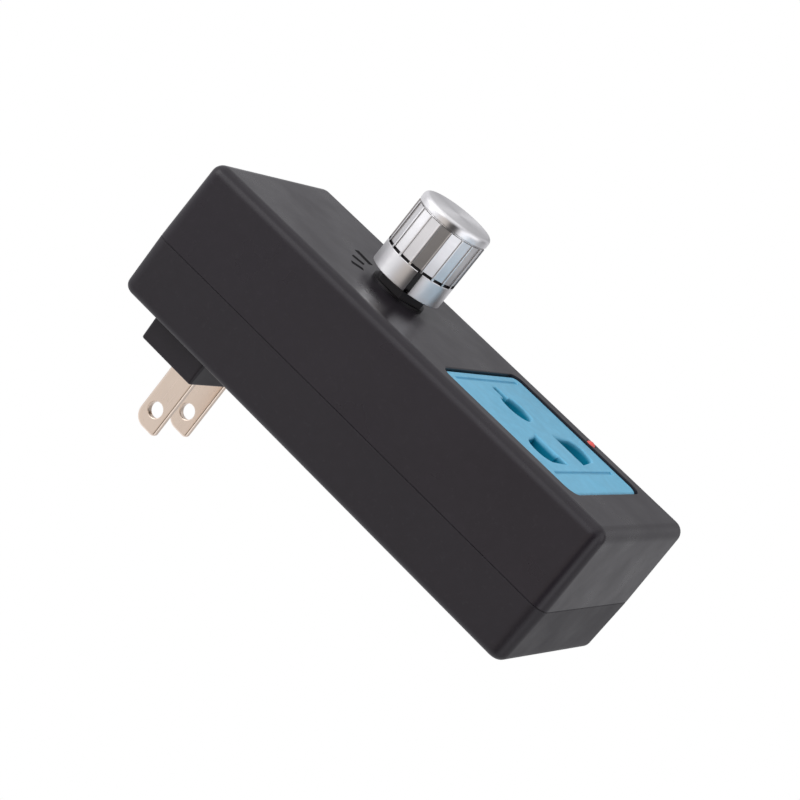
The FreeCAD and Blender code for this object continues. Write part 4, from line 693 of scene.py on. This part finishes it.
def add_rear_shell():
    """The rear shell. Outside, the case's outline drawn in by (parting - w) tan(draft), an arc
    onto the back, then the plug block's outline drawn in by its own draft and an arc onto its
    face. The four counterbores, the blade slots and the room behind them are cut through, and a
    tongue stands up inside the seam."""
    case = settings("case")
    shape = Surface()
    outline = case_outline(case)
    width, height, back = case.block
    wall, inset = shell_wall(case, back, case.rear_edge)
    shape.skin(wall)

    block = rounded(width, height, BLOCK_CORNER, 0, 0, 8)
    foot = [(-BORDER, 0.0), (0.0, 0.0), (FOOT * math.tan(BLOCK_DRAFT), FOOT)]
    wall, block_inset = drafted(block, back, 0.0, BLOCK_DRAFT, BLOCK_EDGE, foot, run=0.3, steps=8)
    shape.skin(wall)
    place = settings("blade").place
    slots = [rounded(SLOT_WIDTH, SLOT_HEIGHT, SLOT_CORNER, x, 0, 4, 0.1) for x in (-place, place)]
    mouths = [shape.opening(slot, 0.0, case.wall, radius=0.12, rest=0.05) for slot in slots]
    shape.plate([grow(block, -block_inset)] + mouths, 0.0)

    seat = back + COUNTERBORE_DEPTH
    mouths, tops = [], []
    for x, z in screw_corners(case):
        wide = circle(COUNTERBORE, x, z, 56)
        tops.append(bore(SCREW_HOLE, x, z))
        mouths.append(shape.opening(wide, back, seat, radius=0.08, rest=0.01))
        shape.plate([wide, tops[-1]], seat)
        shape.wall(tops[-1], seat, LIP)
    shape.plate([grow(outline, -inset), grow(block, BORDER)] + mouths, back)

    room = rounded(*CLAMP_ROOM, 0, 0, 6)
    floor = back + case.wall
    boss_x, boss_height = 11.4, 3.0
    bosses = [bore(CLAMP_BOSS, x, 0) for x in (-boss_x, boss_x)]
    shape.plate([room] + slots + bosses, case.wall)
    shape.wall(room, case.wall, floor)
    for x in (-boss_x, boss_x):
        shape.post(CLAMP_BOSS, x, 0, case.wall, case.wall + boss_height, case.wall / 2)

    levels = (floor, PARTING, LIP)
    rooms = [cavity(case, REAR_BOSS, max(0.0, PARTING - w)) for w in levels]
    shape.plate([rooms[0], room], floor)
    shape.skin([at(loop, w) for loop, w in zip(rooms, levels)])
    tongue = grow(outline, -TONGUE_INSET)
    shape.plate([tongue, rooms[-1]] + tops, LIP)
    shape.wall(tongue, LIP, PARTING)
    shape.plate([grow(outline, -case.seam), tongue], PARTING)
    plastic = moulded("case_back_plastic", case.rear_colour, 0.43)
    shape.build("rear_shell_skin", "case", "rear_shell", [plastic])


# The blades


def add_blades():
    """Two plug blades. The blade's outline lies in the z, w plane; loops run from one flat over a
    rounded edge to the other flat, x = +-(t / 2 - r (1 - sin a)), and the hole does the same the
    other way."""
    blade = settings("blade")
    metal = drawn_metal("blade_nickel", blade.colour, 0.3, (900, 90, 5200), 1.5e-6, 0.03)
    half_thick = (BLADE_HIGH[0] - BLADE_LOW[0]) / 2
    shoulder = (BLADE_HIGH[1] - BLADE_LOW[1]) / 2
    tip, end = BLADE_LOW[2], BLADE_HIGH[2]
    tab, high, low, half = 2.0, 5.2, 2.2, 3.175
    hole_edge, margin = 0.2, 0.12

    def border(radius):
        """One side of the blade from its tab over its shoulder to the middle of its tip."""
        side = [[tab, end], [tab, high], [shoulder, high], [shoulder, low], [half, low],
                [half, 1.8], [half, tip + radius + 0.3]]
        side += [[half - inset, tip + rise] for inset, rise in rounding(radius, 8)[::-1]]
        return np.array(side + [[half - radius - 0.2, tip]])

    def sides(x, points, way, edge):
        """Loops from the flat at +x round the edge to the flat at -x."""
        steps = [(way * (edge + margin), 0.0)] + [(way * out, down) for out, down in rounding(edge)]
        levels = [(out, half_thick - down) for out, down in steps]
        levels += [(out, down - half_thick) for out, down in steps[::-1]]
        return [flat(x + across, grow(points, out)) for out, across in levels]

    def flat(x, points):
        return np.column_stack([np.full(len(points), x), points])

    loop = np.concatenate([border(blade.tip)[::-1], border(blade.tip_low) * [-1, 1]])
    hole = circle(blade.hole / 2, 0, -blade.hole_w, 56)
    face = Surface()
    face.plate([grow(loop, -blade.edge - margin), grow(hole, hole_edge + margin)], 0)
    spots = np.concatenate(face.points)[:, :2]
    for name, x in (("blade_left", -blade.place), ("blade_right", blade.place)):
        shape = Surface()
        shape.skin(sides(x, loop, -1, blade.edge))
        shape.skin(sides(x, hole, 1, hole_edge))
        for across in (half_thick, -half_thick):
            shape.add(flat(x + across, spots), face.faces)
        shape.build(name + "_plate", "case", name, [metal], 40)


# The knob


def add_knob_sleeve():
    """The turned sleeve: profile rows (r, w) carried round one set of angles. In a flute a point
    has the radius q / cos(a) of the flute's flat, on a rib r. The skirt's rows leave the pointer
    slot open, whose two sides are the skirt's own profile and whose roof joins the bore to the
    barrel."""
    knob = settings("knob")
    radius = (SLEEVE_HIGH[0] - SLEEVE_LOW[0]) / 2
    foot, top = SLEEVE_LOW[2], SLEEVE_HIGH[2]
    inner, ceiling = radius - 1.5, top - 1.6
    deep = radius - knob.depth
    period = 2 * math.pi / knob.flutes
    plane = radius - knob.flute_depth
    half = math.asin(knob.flute_width / 2 / radius)
    soft = 0.1 / radius
    step, round_off = half + soft * 0.4, half + soft * 1.5
    slot = math.asin(knob.slot / 2 / radius)
    flute = [-period / 2, -round_off, -step, *np.linspace(-half, half, 9), step, round_off]
    turn = (period * (np.arange(knob.flutes)[:, None] + 0.5) + flute).ravel()
    turn = np.sort(np.concatenate([turn, [slot, 2 * math.pi - slot]]))
    angle = knob.pointer + turn
    around = len(angle)
    columns = np.arange(around)

    def from_middle(turned):
        """How far an angle is from the middle of its flute."""
        return np.abs(turned % period - period / 2)

    off = from_middle(turn)
    in_flute = off <= half + 1e-9
    beside = [plane / math.cos(half), radius - 0.045, radius]
    beside = np.interp(off, [half, step, round_off], beside)
    flat = np.where(in_flute, plane / np.cos(off), beside)
    low = np.where(in_flute, deep, radius - 0.02)

    def ring(r, w, pick=columns):
        return at(polar(np.broadcast_to(r, around)[pick], angle[pick], KNOB_X, KNOB_Z), w)

    shape = Surface()
    skirt = foot + knob.skirt
    low_top = skirt + knob.groove
    rim = top - knob.rim
    rim_low = rim - knob.upper_groove

    # barrel above the lower groove, which the ribs bridge, from the groove's floor up to the pole
    rows = [(low, skirt), (low, low_top), (np.maximum(flat - 0.05, low), low_top),
            (flat, low_top + 0.05), (flat, low_top + 0.25), (flat, rim_low - 0.25),
            (flat, rim_low - 0.08), (np.maximum(flat - 0.1, deep), rim_low), (deep, rim_low),
            (deep, rim), (radius - 0.1, rim), (radius, rim + 0.1), (radius, rim + 0.3)]
    rows += [(radius - inset, top - down) for inset, down in rounding(knob.rim_edge, 8)[::-1]]
    rows.append((radius - knob.rim_edge - 0.3, top))
    rows += [(radius * share, top) for share in (0.62, 0.5, 0.35, 0.2, 0.08)]
    between = from_middle((turn + np.append(turn[1:], turn[0] + 2 * math.pi)) / 2)
    # Painted shade: mark 1 makes the lower groove at the flutes and the skirt's top ledge
    # near-black, where shade falls
    groove_shade, wall_shade = 1, 2
    marks = np.zeros((len(rows) - 1, around), int)
    marks[:2] = groove_shade * (between < step)
    # Painted shade: mark 2 gives the flutes' side walls and their upper ends a darker metal, where
    # shade falls
    marks[2:6] = wall_shade * ((between > half) & (between < step))
    marks[6:8] = wall_shade * (between < step)
    rows = [ring(r, w) for r, w in rows]
    shape.skin(rows, marks)
    shape.cap(rows[-1])

    # skirt with its bore, open at the pointer slot, and the slot's two sides
    first, last = np.searchsorted(turn, [slot - 1e-9, 2 * math.pi - slot - 1e-9])
    kept = columns[first:last + 1]
    edge = 0.12
    profile = [(inner, skirt), (inner, foot), (inner + 0.15, foot), (radius - 0.35, foot),
               (radius - edge, foot), (radius, foot + edge), (radius, foot + 3 * edge),
               (radius, skirt - 3 * edge), (radius, skirt - edge), (radius - edge, skirt),
               (low, skirt)]
    wall = np.array([ring(r, w, kept) for r, w in profile])
    marks = np.zeros((len(profile) - 1, len(kept) - 1), int)
    # painted shade on the skirt's top ledge below the flutes
    marks[-1] = groove_shade
    shape.skin(wall, marks, closed=False)
    shape.cap(wall[:, 0])
    shape.cap(wall[:, -1])
    gap = np.concatenate([columns[last:], columns[:first + 1]])
    shape.skin([ring(inner, skirt, gap), ring(low, skirt, gap)], closed=False)
    shape.skin([ring(inner, skirt), ring(inner, ceiling)])
    shape.cap(ring(inner, ceiling))
    pitch = 0.00022
    # The second finish is painted shade for the lower groove and the skirt's top ledge
    finishes = [turned_metal("sleeve_aluminium", knob.colour, 0.33, pitch, 1.4e-6, drawn_out=0.75),
                moulded("sleeve_groove_shade", knob.groove_shade_colour, 0.6),
                # The third finish is painted shade on the flutes' side walls and upper ends
                turned_metal("sleeve_wall_shade", knob.wall_shade_colour, 0.45, pitch, 2e-6)]
    shape.build("knob_sleeve_turned", "knob", "knob_sleeve", finishes, 28)


def add_dial_marks():
    """A short scale printed above the knob: five flat bars from the radius r1 to r2 along the
    directions a, with ends rounded to c + r (cos b, sin b)."""
    scale = settings("scale")
    shape = Surface()
    lift, thickness = 0.002, 0.028
    levels = (FRONT + lift, FRONT + lift + thickness)
    middle_bar = 83
    for direction in (133, 108, middle_bar, 58, 33):
        end, width = scale.end, scale.width
        if direction == middle_bar:
            end, width = scale.long_end, scale.long_width
        bar = rounded(end - scale.start, width, 0.28, (scale.start + end) / 2, 0, 5, 0.1)
        bar = turned(bar, math.radians(direction)) + KNOB
        shape.wall(bar, *levels)
        for w in levels:
            shape.cap(at(bar, w))
    ink = moulded("dial_ink", scale.colour, 0.62, 2e-6, 1500.0, dust=0.0, specular=0.06)
    shape.build("dial_marks", "case", None, [ink])


def turned(points, angle):
    """Points (x cos a - z sin a, x sin a + z cos a)."""
    c, s = math.cos(angle), math.sin(angle)
    return points @ np.array([[c, s], [-s, c]])


# The socket and the lamp

LEAD_IN = 0.35


def lower_lead(angle):
    """How much wider the edge of a round opening is towards its lowest point."""
    return LEAD_IN * np.clip(-np.sin(angle), 0, 1)


def pin_loop(way, edge):
    """One pin opening and its edge radius at each point: a tall flat inner side and two lines that
    touch the round nose, an arc c + r (cos a, sin a). The flat stands further in between its two
    ends, behind a wider rounded lead-in."""
    inner, nose, half, radius, level = 4.1, 9.3, 4.0, 3.1, -4.9
    lean = math.acos(radius / math.hypot(inner - nose, half))
    top = math.atan2(half, inner - nose) - lean
    angle = np.linspace(-top, top, 33)
    rise = np.array([half, half - 0.4, 3.3, 3.0, 2.6, 1.8, 1.0, 0.2, -0.6, -1.5, -1.8, -2.4,
                     0.4 - half, -half])
    lead = np.interp(rise, [-1.8, -1.5], [0.0, 0.5])
    flat = np.column_stack([inner + lead, level + rise])
    loop = np.vstack([polar(radius, angle, nose, level), flat])
    radii = np.concatenate([edge + lower_lead(angle), edge + lead])
    if way < 0:
        loop, radii = (loop * [-1, 1])[::-1], radii[::-1]
    return loop + [SOCKET_X, SOCKET_Z], radii


def earth_loop(edge):
    """The earth opening and its edge radius at each point: an arc c + r (cos a, sin a) closed by a
    flat with a narrow slot above it."""
    radius, rise, flat, half, high = 3.6, 7.2, 2.8, 1.1, 13.2
    start = math.asin(flat / radius)
    angle = np.linspace(math.pi - start, 2 * math.pi + start, 49)
    side = np.array([[half, rise + flat], [half, high - 0.5], [half - 0.15, high - 0.13],
                     [half - 0.5, high]])
    loop = np.vstack([polar(radius, angle, 0, rise), side, side[::-1] * [-1, 1]])
    radii = np.concatenate([edge + lower_lead(angle), np.full(2 * len(side), edge)])
    return loop + [SOCKET_X, SOCKET_Z], radii


def add_socket_face():
    """The socket's face. The outline's loops go over an arc onto the face, the three openings have
    rounded edges and walls right through, and the two panel lines are troughs with soft sides. Two
    ledges sit behind the shell."""
    socket = settings("socket")
    face, back = FACE_HIGH[2], FACE_LOW[2]
    half = socket.height / 2
    width = FACE_HIGH[0] - FACE_LOW[0]
    outline = rounded(width, socket.height, socket.corner, SOCKET_X, SOCKET_Z, 10)
    shape = Surface()
    rings = [at(outline, back), at(outline, face - socket.edge - 0.3)]
    for inset, down in rounding(socket.edge, 7)[::-1]:
        rings.append(at(grow(outline, -inset), face - down))
    flat = grow(outline, -socket.edge - 0.25)
    shape.skin(rings + [at(flat, face)])
    openings = [earth_loop(socket.mouth), pin_loop(1, socket.mouth), pin_loop(-1, socket.mouth)]
    holes = [shape.opening(loop, face, back, radii, 0.12) for loop, radii in openings]
    line_length, from_top, from_foot = 30.0, 2.2, 6.1
    for level in (half - from_top, from_foot - half):
        trough = rounded(line_length, socket.line, 0.24, SOCKET_X, SOCKET_Z + level, 6, 0.005)
        rows = [(0.25, 0.0)] + [(out - 0.04, down) for out, down in rounding(0.15, 3)]
        rows += [(-0.06, 0.24), (-0.13, 0.3)]
        rings = [at(grow(trough, out), face - down) for out, down in rows]
        shape.skin(rings)
        shape.cap(rings[-1])
        holes.append(rings[0][:, :2])
    shape.plate([flat] + holes, face)

    pilot_x, pilot_z, pilot_depth = 8.5, 10.5, 5.0
    pilots = [(x, SOCKET_Z + pilot_z) for x in (-pilot_x, pilot_x)]
    for x, z in pilots:
        shape.pilot(SMALL_PILOT, x, z, back, back + pilot_depth)
    behind = [loop for loop, radii in openings] + [bore(SMALL_PILOT, x, z) for x, z in pilots]
    shape.plate([outline] + behind, back)
    ledge_width, ledge_height, levels = 26.8, 1.8, (33.9, 35.5)
    for way in (1, -1):
        z = SOCKET_Z + way * (half + ledge_height / 2)
        ledge = rounded(ledge_width, ledge_height, 0.3, SOCKET_X, z, 4, 0.2)
        shape.wall(ledge, *levels)
        for w in levels:
            shape.plate([ledge], w)
    # Painted shade: the openings' walls and the panel lines' troughs go darker below the face
    deep = (face - 0.1, socket.recess_shade_colour)
    plastic = moulded("socket_plastic", socket.colour, 0.4, 5e-6, 3000.0, 0.04, deep)
    shape.build("socket_face_skin", "case", "socket_face", [plastic])


def add_lamp():
    """The lamp's lens: a profile (r, w) turned about its axis, with a dome r = R cos a,
    w = c + R sin a and a collar."""
    lamp = settings("lamp")
    radius, collar, low = lamp.radius, LENS_COLLAR, LENS_LOW[2]
    collar_low, collar_high = 34.7, 35.5
    centre = LENS_HIGH[2] - 0.1 - lamp.rise
    profile = [(radius - 0.15, low), (radius, low + 0.15), (radius, collar_low),
               (collar - 0.05, collar_low), (collar, collar_low + 0.1), (collar, collar_high - 0.1),
               (collar - 0.05, collar_high), (radius, collar_high), (radius, centre - 0.02)]
    for a in np.radians(np.linspace(0, 84, 10)):
        profile.append((radius * math.cos(a), centre + lamp.rise * math.sin(a)))
    shape = Surface()
    rows = lathe(profile, LENS_X, LENS_Z)
    shape.skin(rows)
    shape.cap(rows[0])
    shape.cap(rows[-1])
    resin = lamp_plastic(lamp.dark_colour, lamp.colour)
    shape.build("lamp_lens", "case", "led_lens", [resin])


# The screws


def add_case_screws():
    """Four pan-head screws. The head's profile is turned about its axis down to a flat with a cross
    recess, whose walls lean in, and the shank carries a thread:
    r = R - h |2 frac(w / pitch - angle / 2 pi) - 1|."""
    corners = screw_corners(settings("case"))
    face, tip = SCREW_LOW[2], SCREW_HIGH[2]
    head, seat, flat = 2.4, 14.3, 1.75
    recess_depth, recess_taper = 1.0, 0.75
    shank, thread_height, pitch = 1.18, 0.28, 1.0
    arm = np.array([[0.36, 1.4], [0.3, 1.5], [-0.3, 1.5], [-0.36, 1.4], [-0.42, 0.42]])
    cross = np.concatenate([turned(arm, quarter * math.pi / 2) for quarter in range(4)])
    profile = [(head - 0.1, seat), (head, seat - 0.12), (head, seat - 0.8)]
    for a in np.radians(np.linspace(12, 75, 6)):
        profile.append((head - 0.85 * (1 - math.cos(a)), seat - 0.8 - 0.95 * math.sin(a)))
    profile.append((flat, face))
    count = len(bore(head, 0, 0))
    levels = np.concatenate([[seat], np.linspace(seat + 0.3, tip - 1.0, 90)])
    phase = levels[:, None] / pitch - np.arange(count) / count
    thread = shank - thread_height * np.abs(2 * (phase % 1) - 1)
    thread[0] = shank
    shape = Surface()
    for index, (x, z) in enumerate(corners):
        shape.skin(lathe(profile, x, z))
        recess = turned(cross, math.radians(17 + 23 * index))
        mouth, floor = recess + [x, z], recess * recess_taper + [x, z]
        shape.plate([bore(flat, x, z), mouth], face)
        shape.skin([at(mouth, face), at(floor, face + recess_depth)])
        shape.plate([floor], face + recess_depth)
        rows = lathe([*zip(thread, levels), (0.85, tip - 0.8), (0.4, tip - 0.1)], x, z)
        shape.skin(rows)
        shape.cap(rows[-1])
        shape.plate([bore(head - 0.1, x, z), rows[0][:, :2]], seat)
    steel = drawn_metal("screw_steel", (0.42, 0.42, 0.43), 0.34, (2400, 300, 2400))
    shape.build("case_screws_turned", "case", "case_screws", [steel], 35)


# The parts that keep their solids


def dress_inside():
    """A material on every node that keeps its solid."""
    vinyl = (0.42, 8e-6, 1800.0, 0.05)
    worn = [
        (moulded("core_plastic", (0.02, 0.02, 0.021), 0.45), "knob_core"),
        (moulded("base_plastic", (0.1, 0.32, 0.48), 0.45), "socket_base"),
        (moulded("clamp_plastic", (0.03, 0.03, 0.031), 0.5), "blade_clamp"),
        (drawn_metal("contact_brass", (0.72, 0.5, 0.22), 0.3, (3000, 3000, 300)),
         "contact_left contact_right contact_earth pot_wiper"),
        (drawn_metal("plated_steel", (0.6, 0.6, 0.61), 0.3, (2500, 400, 2500)),
         "pot_can socket_screws board_screws clamp_screws triac_screw"),
        # Painted shade: the bushing, nut and washer get a near-black metal that stands for the
        # shade under the knob
        (turned_metal("nut_shade_black", (0.05, 0.048, 0.05), 0.42, 0.0003),
         "pot_bushing pot_nut pot_washer"),
        (turned_metal("shaft_nickel", (0.68, 0.67, 0.64), 0.28, 0.0003), "pot_shaft"),
        (drawn_metal("tinned_lead", (0.66, 0.66, 0.67), 0.35, (1500, 1500, 1500)),
         "pot_terminals triac_frame fuse_caps component_leads led_leads"),
        (drawn_metal("sink_aluminium", (0.7, 0.7, 0.72), 0.42, (400, 400, 4000)), "heatsink"),
        (moulded("package_epoxy", (0.018, 0.018, 0.02), 0.55, 1e-5, 4200.0, 0.1), "triac_body"),
        (moulded("choke_ferrite", (0.035, 0.034, 0.033), 0.6, 2e-5, 1800.0, 0.2), "choke_core"),
        (moulded("film_yellow", (0.62, 0.42, 0.05), 0.3, 4e-6, 1500.0, 0.05), "film_capacitor"),
        (moulded("track_carbon", (0.05, 0.03, 0.022), 0.5, 4e-6, 3000.0, 0.1), "pot_track"),
        (moulded("fuse_ceramic", (0.62, 0.6, 0.56), 0.22, 3e-6, 1500.0, 0.05), "fuse_body"),
        (moulded("diac_glass", (0.25, 0.06, 0.03), 0.2, 3e-6, 1500.0, 0.0), "diac"),
        (moulded("lead_red_vinyl", (0.4, 0.02, 0.02), *vinyl), "wire_live"),
        (moulded("lead_white_vinyl", (0.62, 0.61, 0.58), *vinyl), "wire_neutral"),
        (moulded("lead_black_vinyl", (0.02, 0.02, 0.02), *vinyl), "wire_load"),
        (laminate(), "circuit_board"),
        (wound_copper(middle("choke_core")), "choke_winding"),
        (banded_resistor(), "resistors"),
    ]
    for material, names in worn:
        for name in names.split():
            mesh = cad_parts[name].data
            mesh.materials.clear()
            mesh.materials.append(material)
            mesh.shade_smooth()
            mesh.set_sharp_from_angle(angle=math.radians(30))


# The stage, in metres

TARGET = (0, -0.03, -0.04)
FLOOR_SPAN = 30

# Soft lights: name, place, size, power and whether reflections show it
LIGHTS = [
    ("key_light", (-0.2, -0.8, 0.3), 1.3, 2.1, True),
    ("fill_light", (-0.72, -0.42, 0.12), 0.4, 1.0, False),
    ("side_light", (-0.46, -0.29, 0.54), 0.45, 0.9, True),
]

# Where the studio is paler or darker: direction, inner and outer angle in degrees, the gain, and
# how much of the direction's y counts, so that less than 1 makes a strip along y
SOFT_SPOTS = [
    ((-0.81, 0.25, -0.53), 12, 27, -0.59, 0.35),
    ((-0.42, 0.3, 0.86), 15, 50, 0.12, 1.0),
    ((-0.42, 0.21, -0.88), 8, 26, 0.75, 0.5),
    ((0.72, -0.17, -0.68), 11, 29, -0.32, 1.0),
    ((0.89, 0.29, -0.35), 6, 22, -0.08, 1.0),
    ((0.2, -0.5, -0.85), 14, 36, 0.6, 1.0),
    ((0.2, 0.95, 0.2), 25, 60, 0.3, 1.0),
    ((0.7, -0.2, 0.7), 15, 38, 0.09, 1.0),
    ((0.95, -0.24, 0.22), 6, 22, -0.25, 1.0),
    ((-0.3, -0.25, 0.92), 10, 30, 0.55, 1.0),
    ((-0.78, -0.44, 0.44), 10, 28, 0.85, 1.0),
]
# The studio's light is a little cool, and warm round this direction
WARM_SPOT = ((-0.95, 0.2, -0.2), 12, 42, 1.0, 1.0)
COOL, WARM = (0.97, 0.965, 1, 1), (1, 0.9, 0.82, 1)

# The camera's own x, y and z axes
CAMERA_AXES = [
    (0.421325, -0.606787, -0.674014),
    (-0.030500, -0.752259, 0.658162),
    (-0.906397, -0.256743, -0.335452),
]


def add_floor(height, colour):
    """The floor: a square grid of quads in a pale paper."""
    span = np.linspace(-FLOOR_SPAN, FLOOR_SPAN, 25)
    x, y = np.meshgrid(span, span, indexing="ij")
    n = len(span)
    i, j = np.meshgrid(np.arange(n - 1), np.arange(n - 1), indexing="ij")
    quads = np.stack([i * n + j, (i + 1) * n + j, (i + 1) * n + j + 1, i * n + j + 1], -1)
    mesh = bpy.data.meshes.new("floor")
    points = np.stack([x, y, np.full_like(x, height)], -1)
    mesh.from_pydata(points.reshape(-1, 3).tolist(), [], quads.reshape(-1, 4).tolist())
    f = Finish("floor_paper", 0.7)
    dark, pale = ([c + change for c in colour] for change in (-0.005, 0.005))
    mesh.materials.append(f.use(Base_Color=f.ramp(f.noise(3.0), (0.3, dark), (0.7, pale))))
    ground = bpy.data.objects.new("floor", mesh)
    bpy.context.scene.collection.objects.link(ground)
    ground.visible_glossy = False


def add_studio(ambient):
    """The world: an even light with paler and darker parts, which the camera sees as plain
    white."""
    world = bpy.data.worlds.new("studio")
    bpy.context.scene.world = world
    world.use_nodes = True
    tree = world.node_tree
    back = tree.nodes["Background"]
    way = add_node(tree, "TexCoord").outputs["Generated"]

    def vector(operation, *sources):
        return add_node(tree, "VectorMath", dict(enumerate(sources)), operation=operation)

    def lobe(direction, inner, outer, gain, along):
        """The gain in the direction that is looked in: full inside the inner angle, none outside
        the outer one."""
        centre = Vector((direction[0], direction[1] * along, direction[2])).normalized()
        unit = vector("NORMALIZE", vector("MULTIPLY", way, (1, along, 1)).outputs[0]).outputs[0]
        near = vector("DOT_PRODUCT", unit, centre).outputs["Value"]
        low, high = math.cos(math.radians(outer)), math.cos(math.radians(inner))
        links = {"Value": near, "From Min": low, "From Max": high, "To Max": gain}
        return add_node(tree, "MapRange", links, interpolation_type="SMOOTHSTEP").outputs["Result"]

    total = ambient
    for spot in SOFT_SPOTS:
        total = add_node(tree, "Math", {0: lobe(*spot), 1: total}).outputs[0]
    tint = add_node(tree, "Mix", {0: lobe(*WARM_SPOT), 6: COOL, 7: WARM}, data_type="RGBA")
    tree.links.new(total, back.inputs["Strength"])
    tree.links.new(tint.outputs[2], back.inputs["Color"])
    seen = add_node(tree, "Background", {"Color": (1, 1, 1, 1), "Strength": 1.0}).outputs[0]
    path = add_node(tree, "LightPath").outputs["Is Camera Ray"]
    both = add_node(tree, "MixShader", {0: path, 1: back.outputs[0], 2: seen}).outputs[0]
    tree.links.new(both, tree.nodes["World Output"].inputs["Surface"])


def add_soft_light(name, place, size, power, in_reflections):
    """A square soft light that faces the part."""
    light = bpy.data.lights.new(name, "AREA")
    light.size = size
    light.energy = power
    lamp = bpy.data.objects.new(name, light)
    lamp.location = place
    lamp.rotation_euler = (Vector(TARGET) - Vector(place)).to_track_quat("-Z", "Y").to_euler()
    lamp.visible_camera = False
    lamp.visible_glossy = in_reflections
    bpy.context.scene.collection.objects.link(lamp)


def set_stage():
    """Floor, plain world, soft light and the camera."""
    stage = settings("stage")
    scene = bpy.context.scene
    scene.view_settings.view_transform = "Standard"
    add_floor(stage.floor / 1000, stage.floor_colour)
    add_studio(stage.ambient)
    for light in LIGHTS:
        add_soft_light(*light)
    lens = bpy.data.cameras.new("camera")
    lens.lens = stage.lens
    lens.sensor_width = 36.0
    lens.clip_start = 0.02
    view = bpy.data.objects.new("camera", lens)
    axes = Matrix(CAMERA_AXES).transposed().to_4x4()
    view.matrix_world = Matrix.Translation(Vector(stage.camera / 1000)) @ axes
    scene.collection.objects.link(view)
    scene.camera = view


# Operators


class CONTROLLER_OT_front_shell(bpy.types.Operator):
    """Builds the front shell with its window, lamp hole, shaft hole and screw bosses."""

    bl_idname = "controller.front_shell"
    bl_label = "Front shell"

    def execute(self, context):
        add_front_shell()
        return {"FINISHED"}


class CONTROLLER_OT_rear_shell(bpy.types.Operator):
    """Builds the rear shell with its plug block, blade slots and counterbores."""

    bl_idname = "controller.rear_shell"
    bl_label = "Rear shell"

    def execute(self, context):
        add_rear_shell()
        return {"FINISHED"}


class CONTROLLER_OT_blades(bpy.types.Operator):
    """Builds the two plug blades."""

    bl_idname = "controller.blades"
    bl_label = "Blades"

    def execute(self, context):
        add_blades()
        return {"FINISHED"}


class CONTROLLER_OT_knob_sleeve(bpy.types.Operator):
    """Builds the knob's turned and fluted sleeve."""

    bl_idname = "controller.knob_sleeve"
    bl_label = "Knob sleeve"

    def execute(self, context):
        add_knob_sleeve()
        return {"FINISHED"}


class CONTROLLER_OT_socket_face(bpy.types.Operator):
    """Builds the socket's face with its three pin openings."""

    bl_idname = "controller.socket_face"
    bl_label = "Socket face"

    def execute(self, context):
        add_socket_face()
        return {"FINISHED"}


class CONTROLLER_OT_lamp(bpy.types.Operator):
    """Builds the lamp's red lens."""

    bl_idname = "controller.lamp"
    bl_label = "Lamp"

    def execute(self, context):
        add_lamp()
        return {"FINISHED"}


class CONTROLLER_OT_case_screws(bpy.types.Operator):
    """Builds the four screws that close the case."""

    bl_idname = "controller.case_screws"
    bl_label = "Case screws"

    def execute(self, context):
        add_case_screws()
        return {"FINISHED"}


class CONTROLLER_OT_dial_marks(bpy.types.Operator):
    """Builds the scale printed above the knob."""

    bl_idname = "controller.dial_marks"
    bl_label = "Dial marks"

    def execute(self, context):
        add_dial_marks()
        return {"FINISHED"}


class CONTROLLER_OT_inside(bpy.types.Operator):
    """Gives the parts that keep their solids a material."""

    bl_idname = "controller.inside"
    bl_label = "Parts inside"

    def execute(self, context):
        dress_inside()
        return {"FINISHED"}


class CONTROLLER_OT_stage(bpy.types.Operator):
    """Sets up the floor, the world, the lights and the camera."""

    bl_idname = "controller.stage"
    bl_label = "Stage"

    def execute(self, context):
        set_stage()
        return {"FINISHED"}


OPERATORS = [
    CONTROLLER_OT_front_shell,
    CONTROLLER_OT_rear_shell,
    CONTROLLER_OT_blades,
    CONTROLLER_OT_knob_sleeve,
    CONTROLLER_OT_socket_face,
    CONTROLLER_OT_lamp,
    CONTROLLER_OT_case_screws,
    CONTROLLER_OT_dial_marks,
    CONTROLLER_OT_inside,
    CONTROLLER_OT_stage,
]


class CONTROLLER_PT_panel(bpy.types.Panel):
    """Lists the pieces of the speed controller and their sizes."""

    bl_label = "Speed controller"
    bl_idname = "CONTROLLER_PT_panel"
    bl_space_type = "VIEW_3D"
    bl_region_type = "UI"
    bl_category = "Speed controller"

    def draw(self, context):
        for item in OPERATORS:
            self.layout.operator(item.bl_idname)
        for group in ControllerSettings.__annotations__:
            box = self.layout.box()
            values = getattr(context.scene.controller, group)
            for key in values.__annotations__:
                box.prop(values, key)


CLASSES = [
    CaseSettings, KnobSettings, ScaleSettings, SocketSettings, LampSettings, BladeSettings,
    StageSettings, ControllerSettings, *OPERATORS, CONTROLLER_PT_panel,
]


def register():
    for item in CLASSES:
        bpy.utils.register_class(item)
    bpy.types.Scene.controller = PointerProperty(type=ControllerSettings)


def unregister():
    del bpy.types.Scene.controller
    for item in reversed(CLASSES):
        bpy.utils.unregister_class(item)


def main():
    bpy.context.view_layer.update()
    register()
    bpy.ops.controller.front_shell()
    bpy.ops.controller.rear_shell()
    bpy.ops.controller.blades()
    bpy.ops.controller.knob_sleeve()
    bpy.ops.controller.socket_face()
    bpy.ops.controller.lamp()
    bpy.ops.controller.case_screws()
    bpy.ops.controller.dial_marks()
    bpy.ops.controller.inside()
    bpy.ops.controller.stage()


if __name__ == "__main__":
    main()
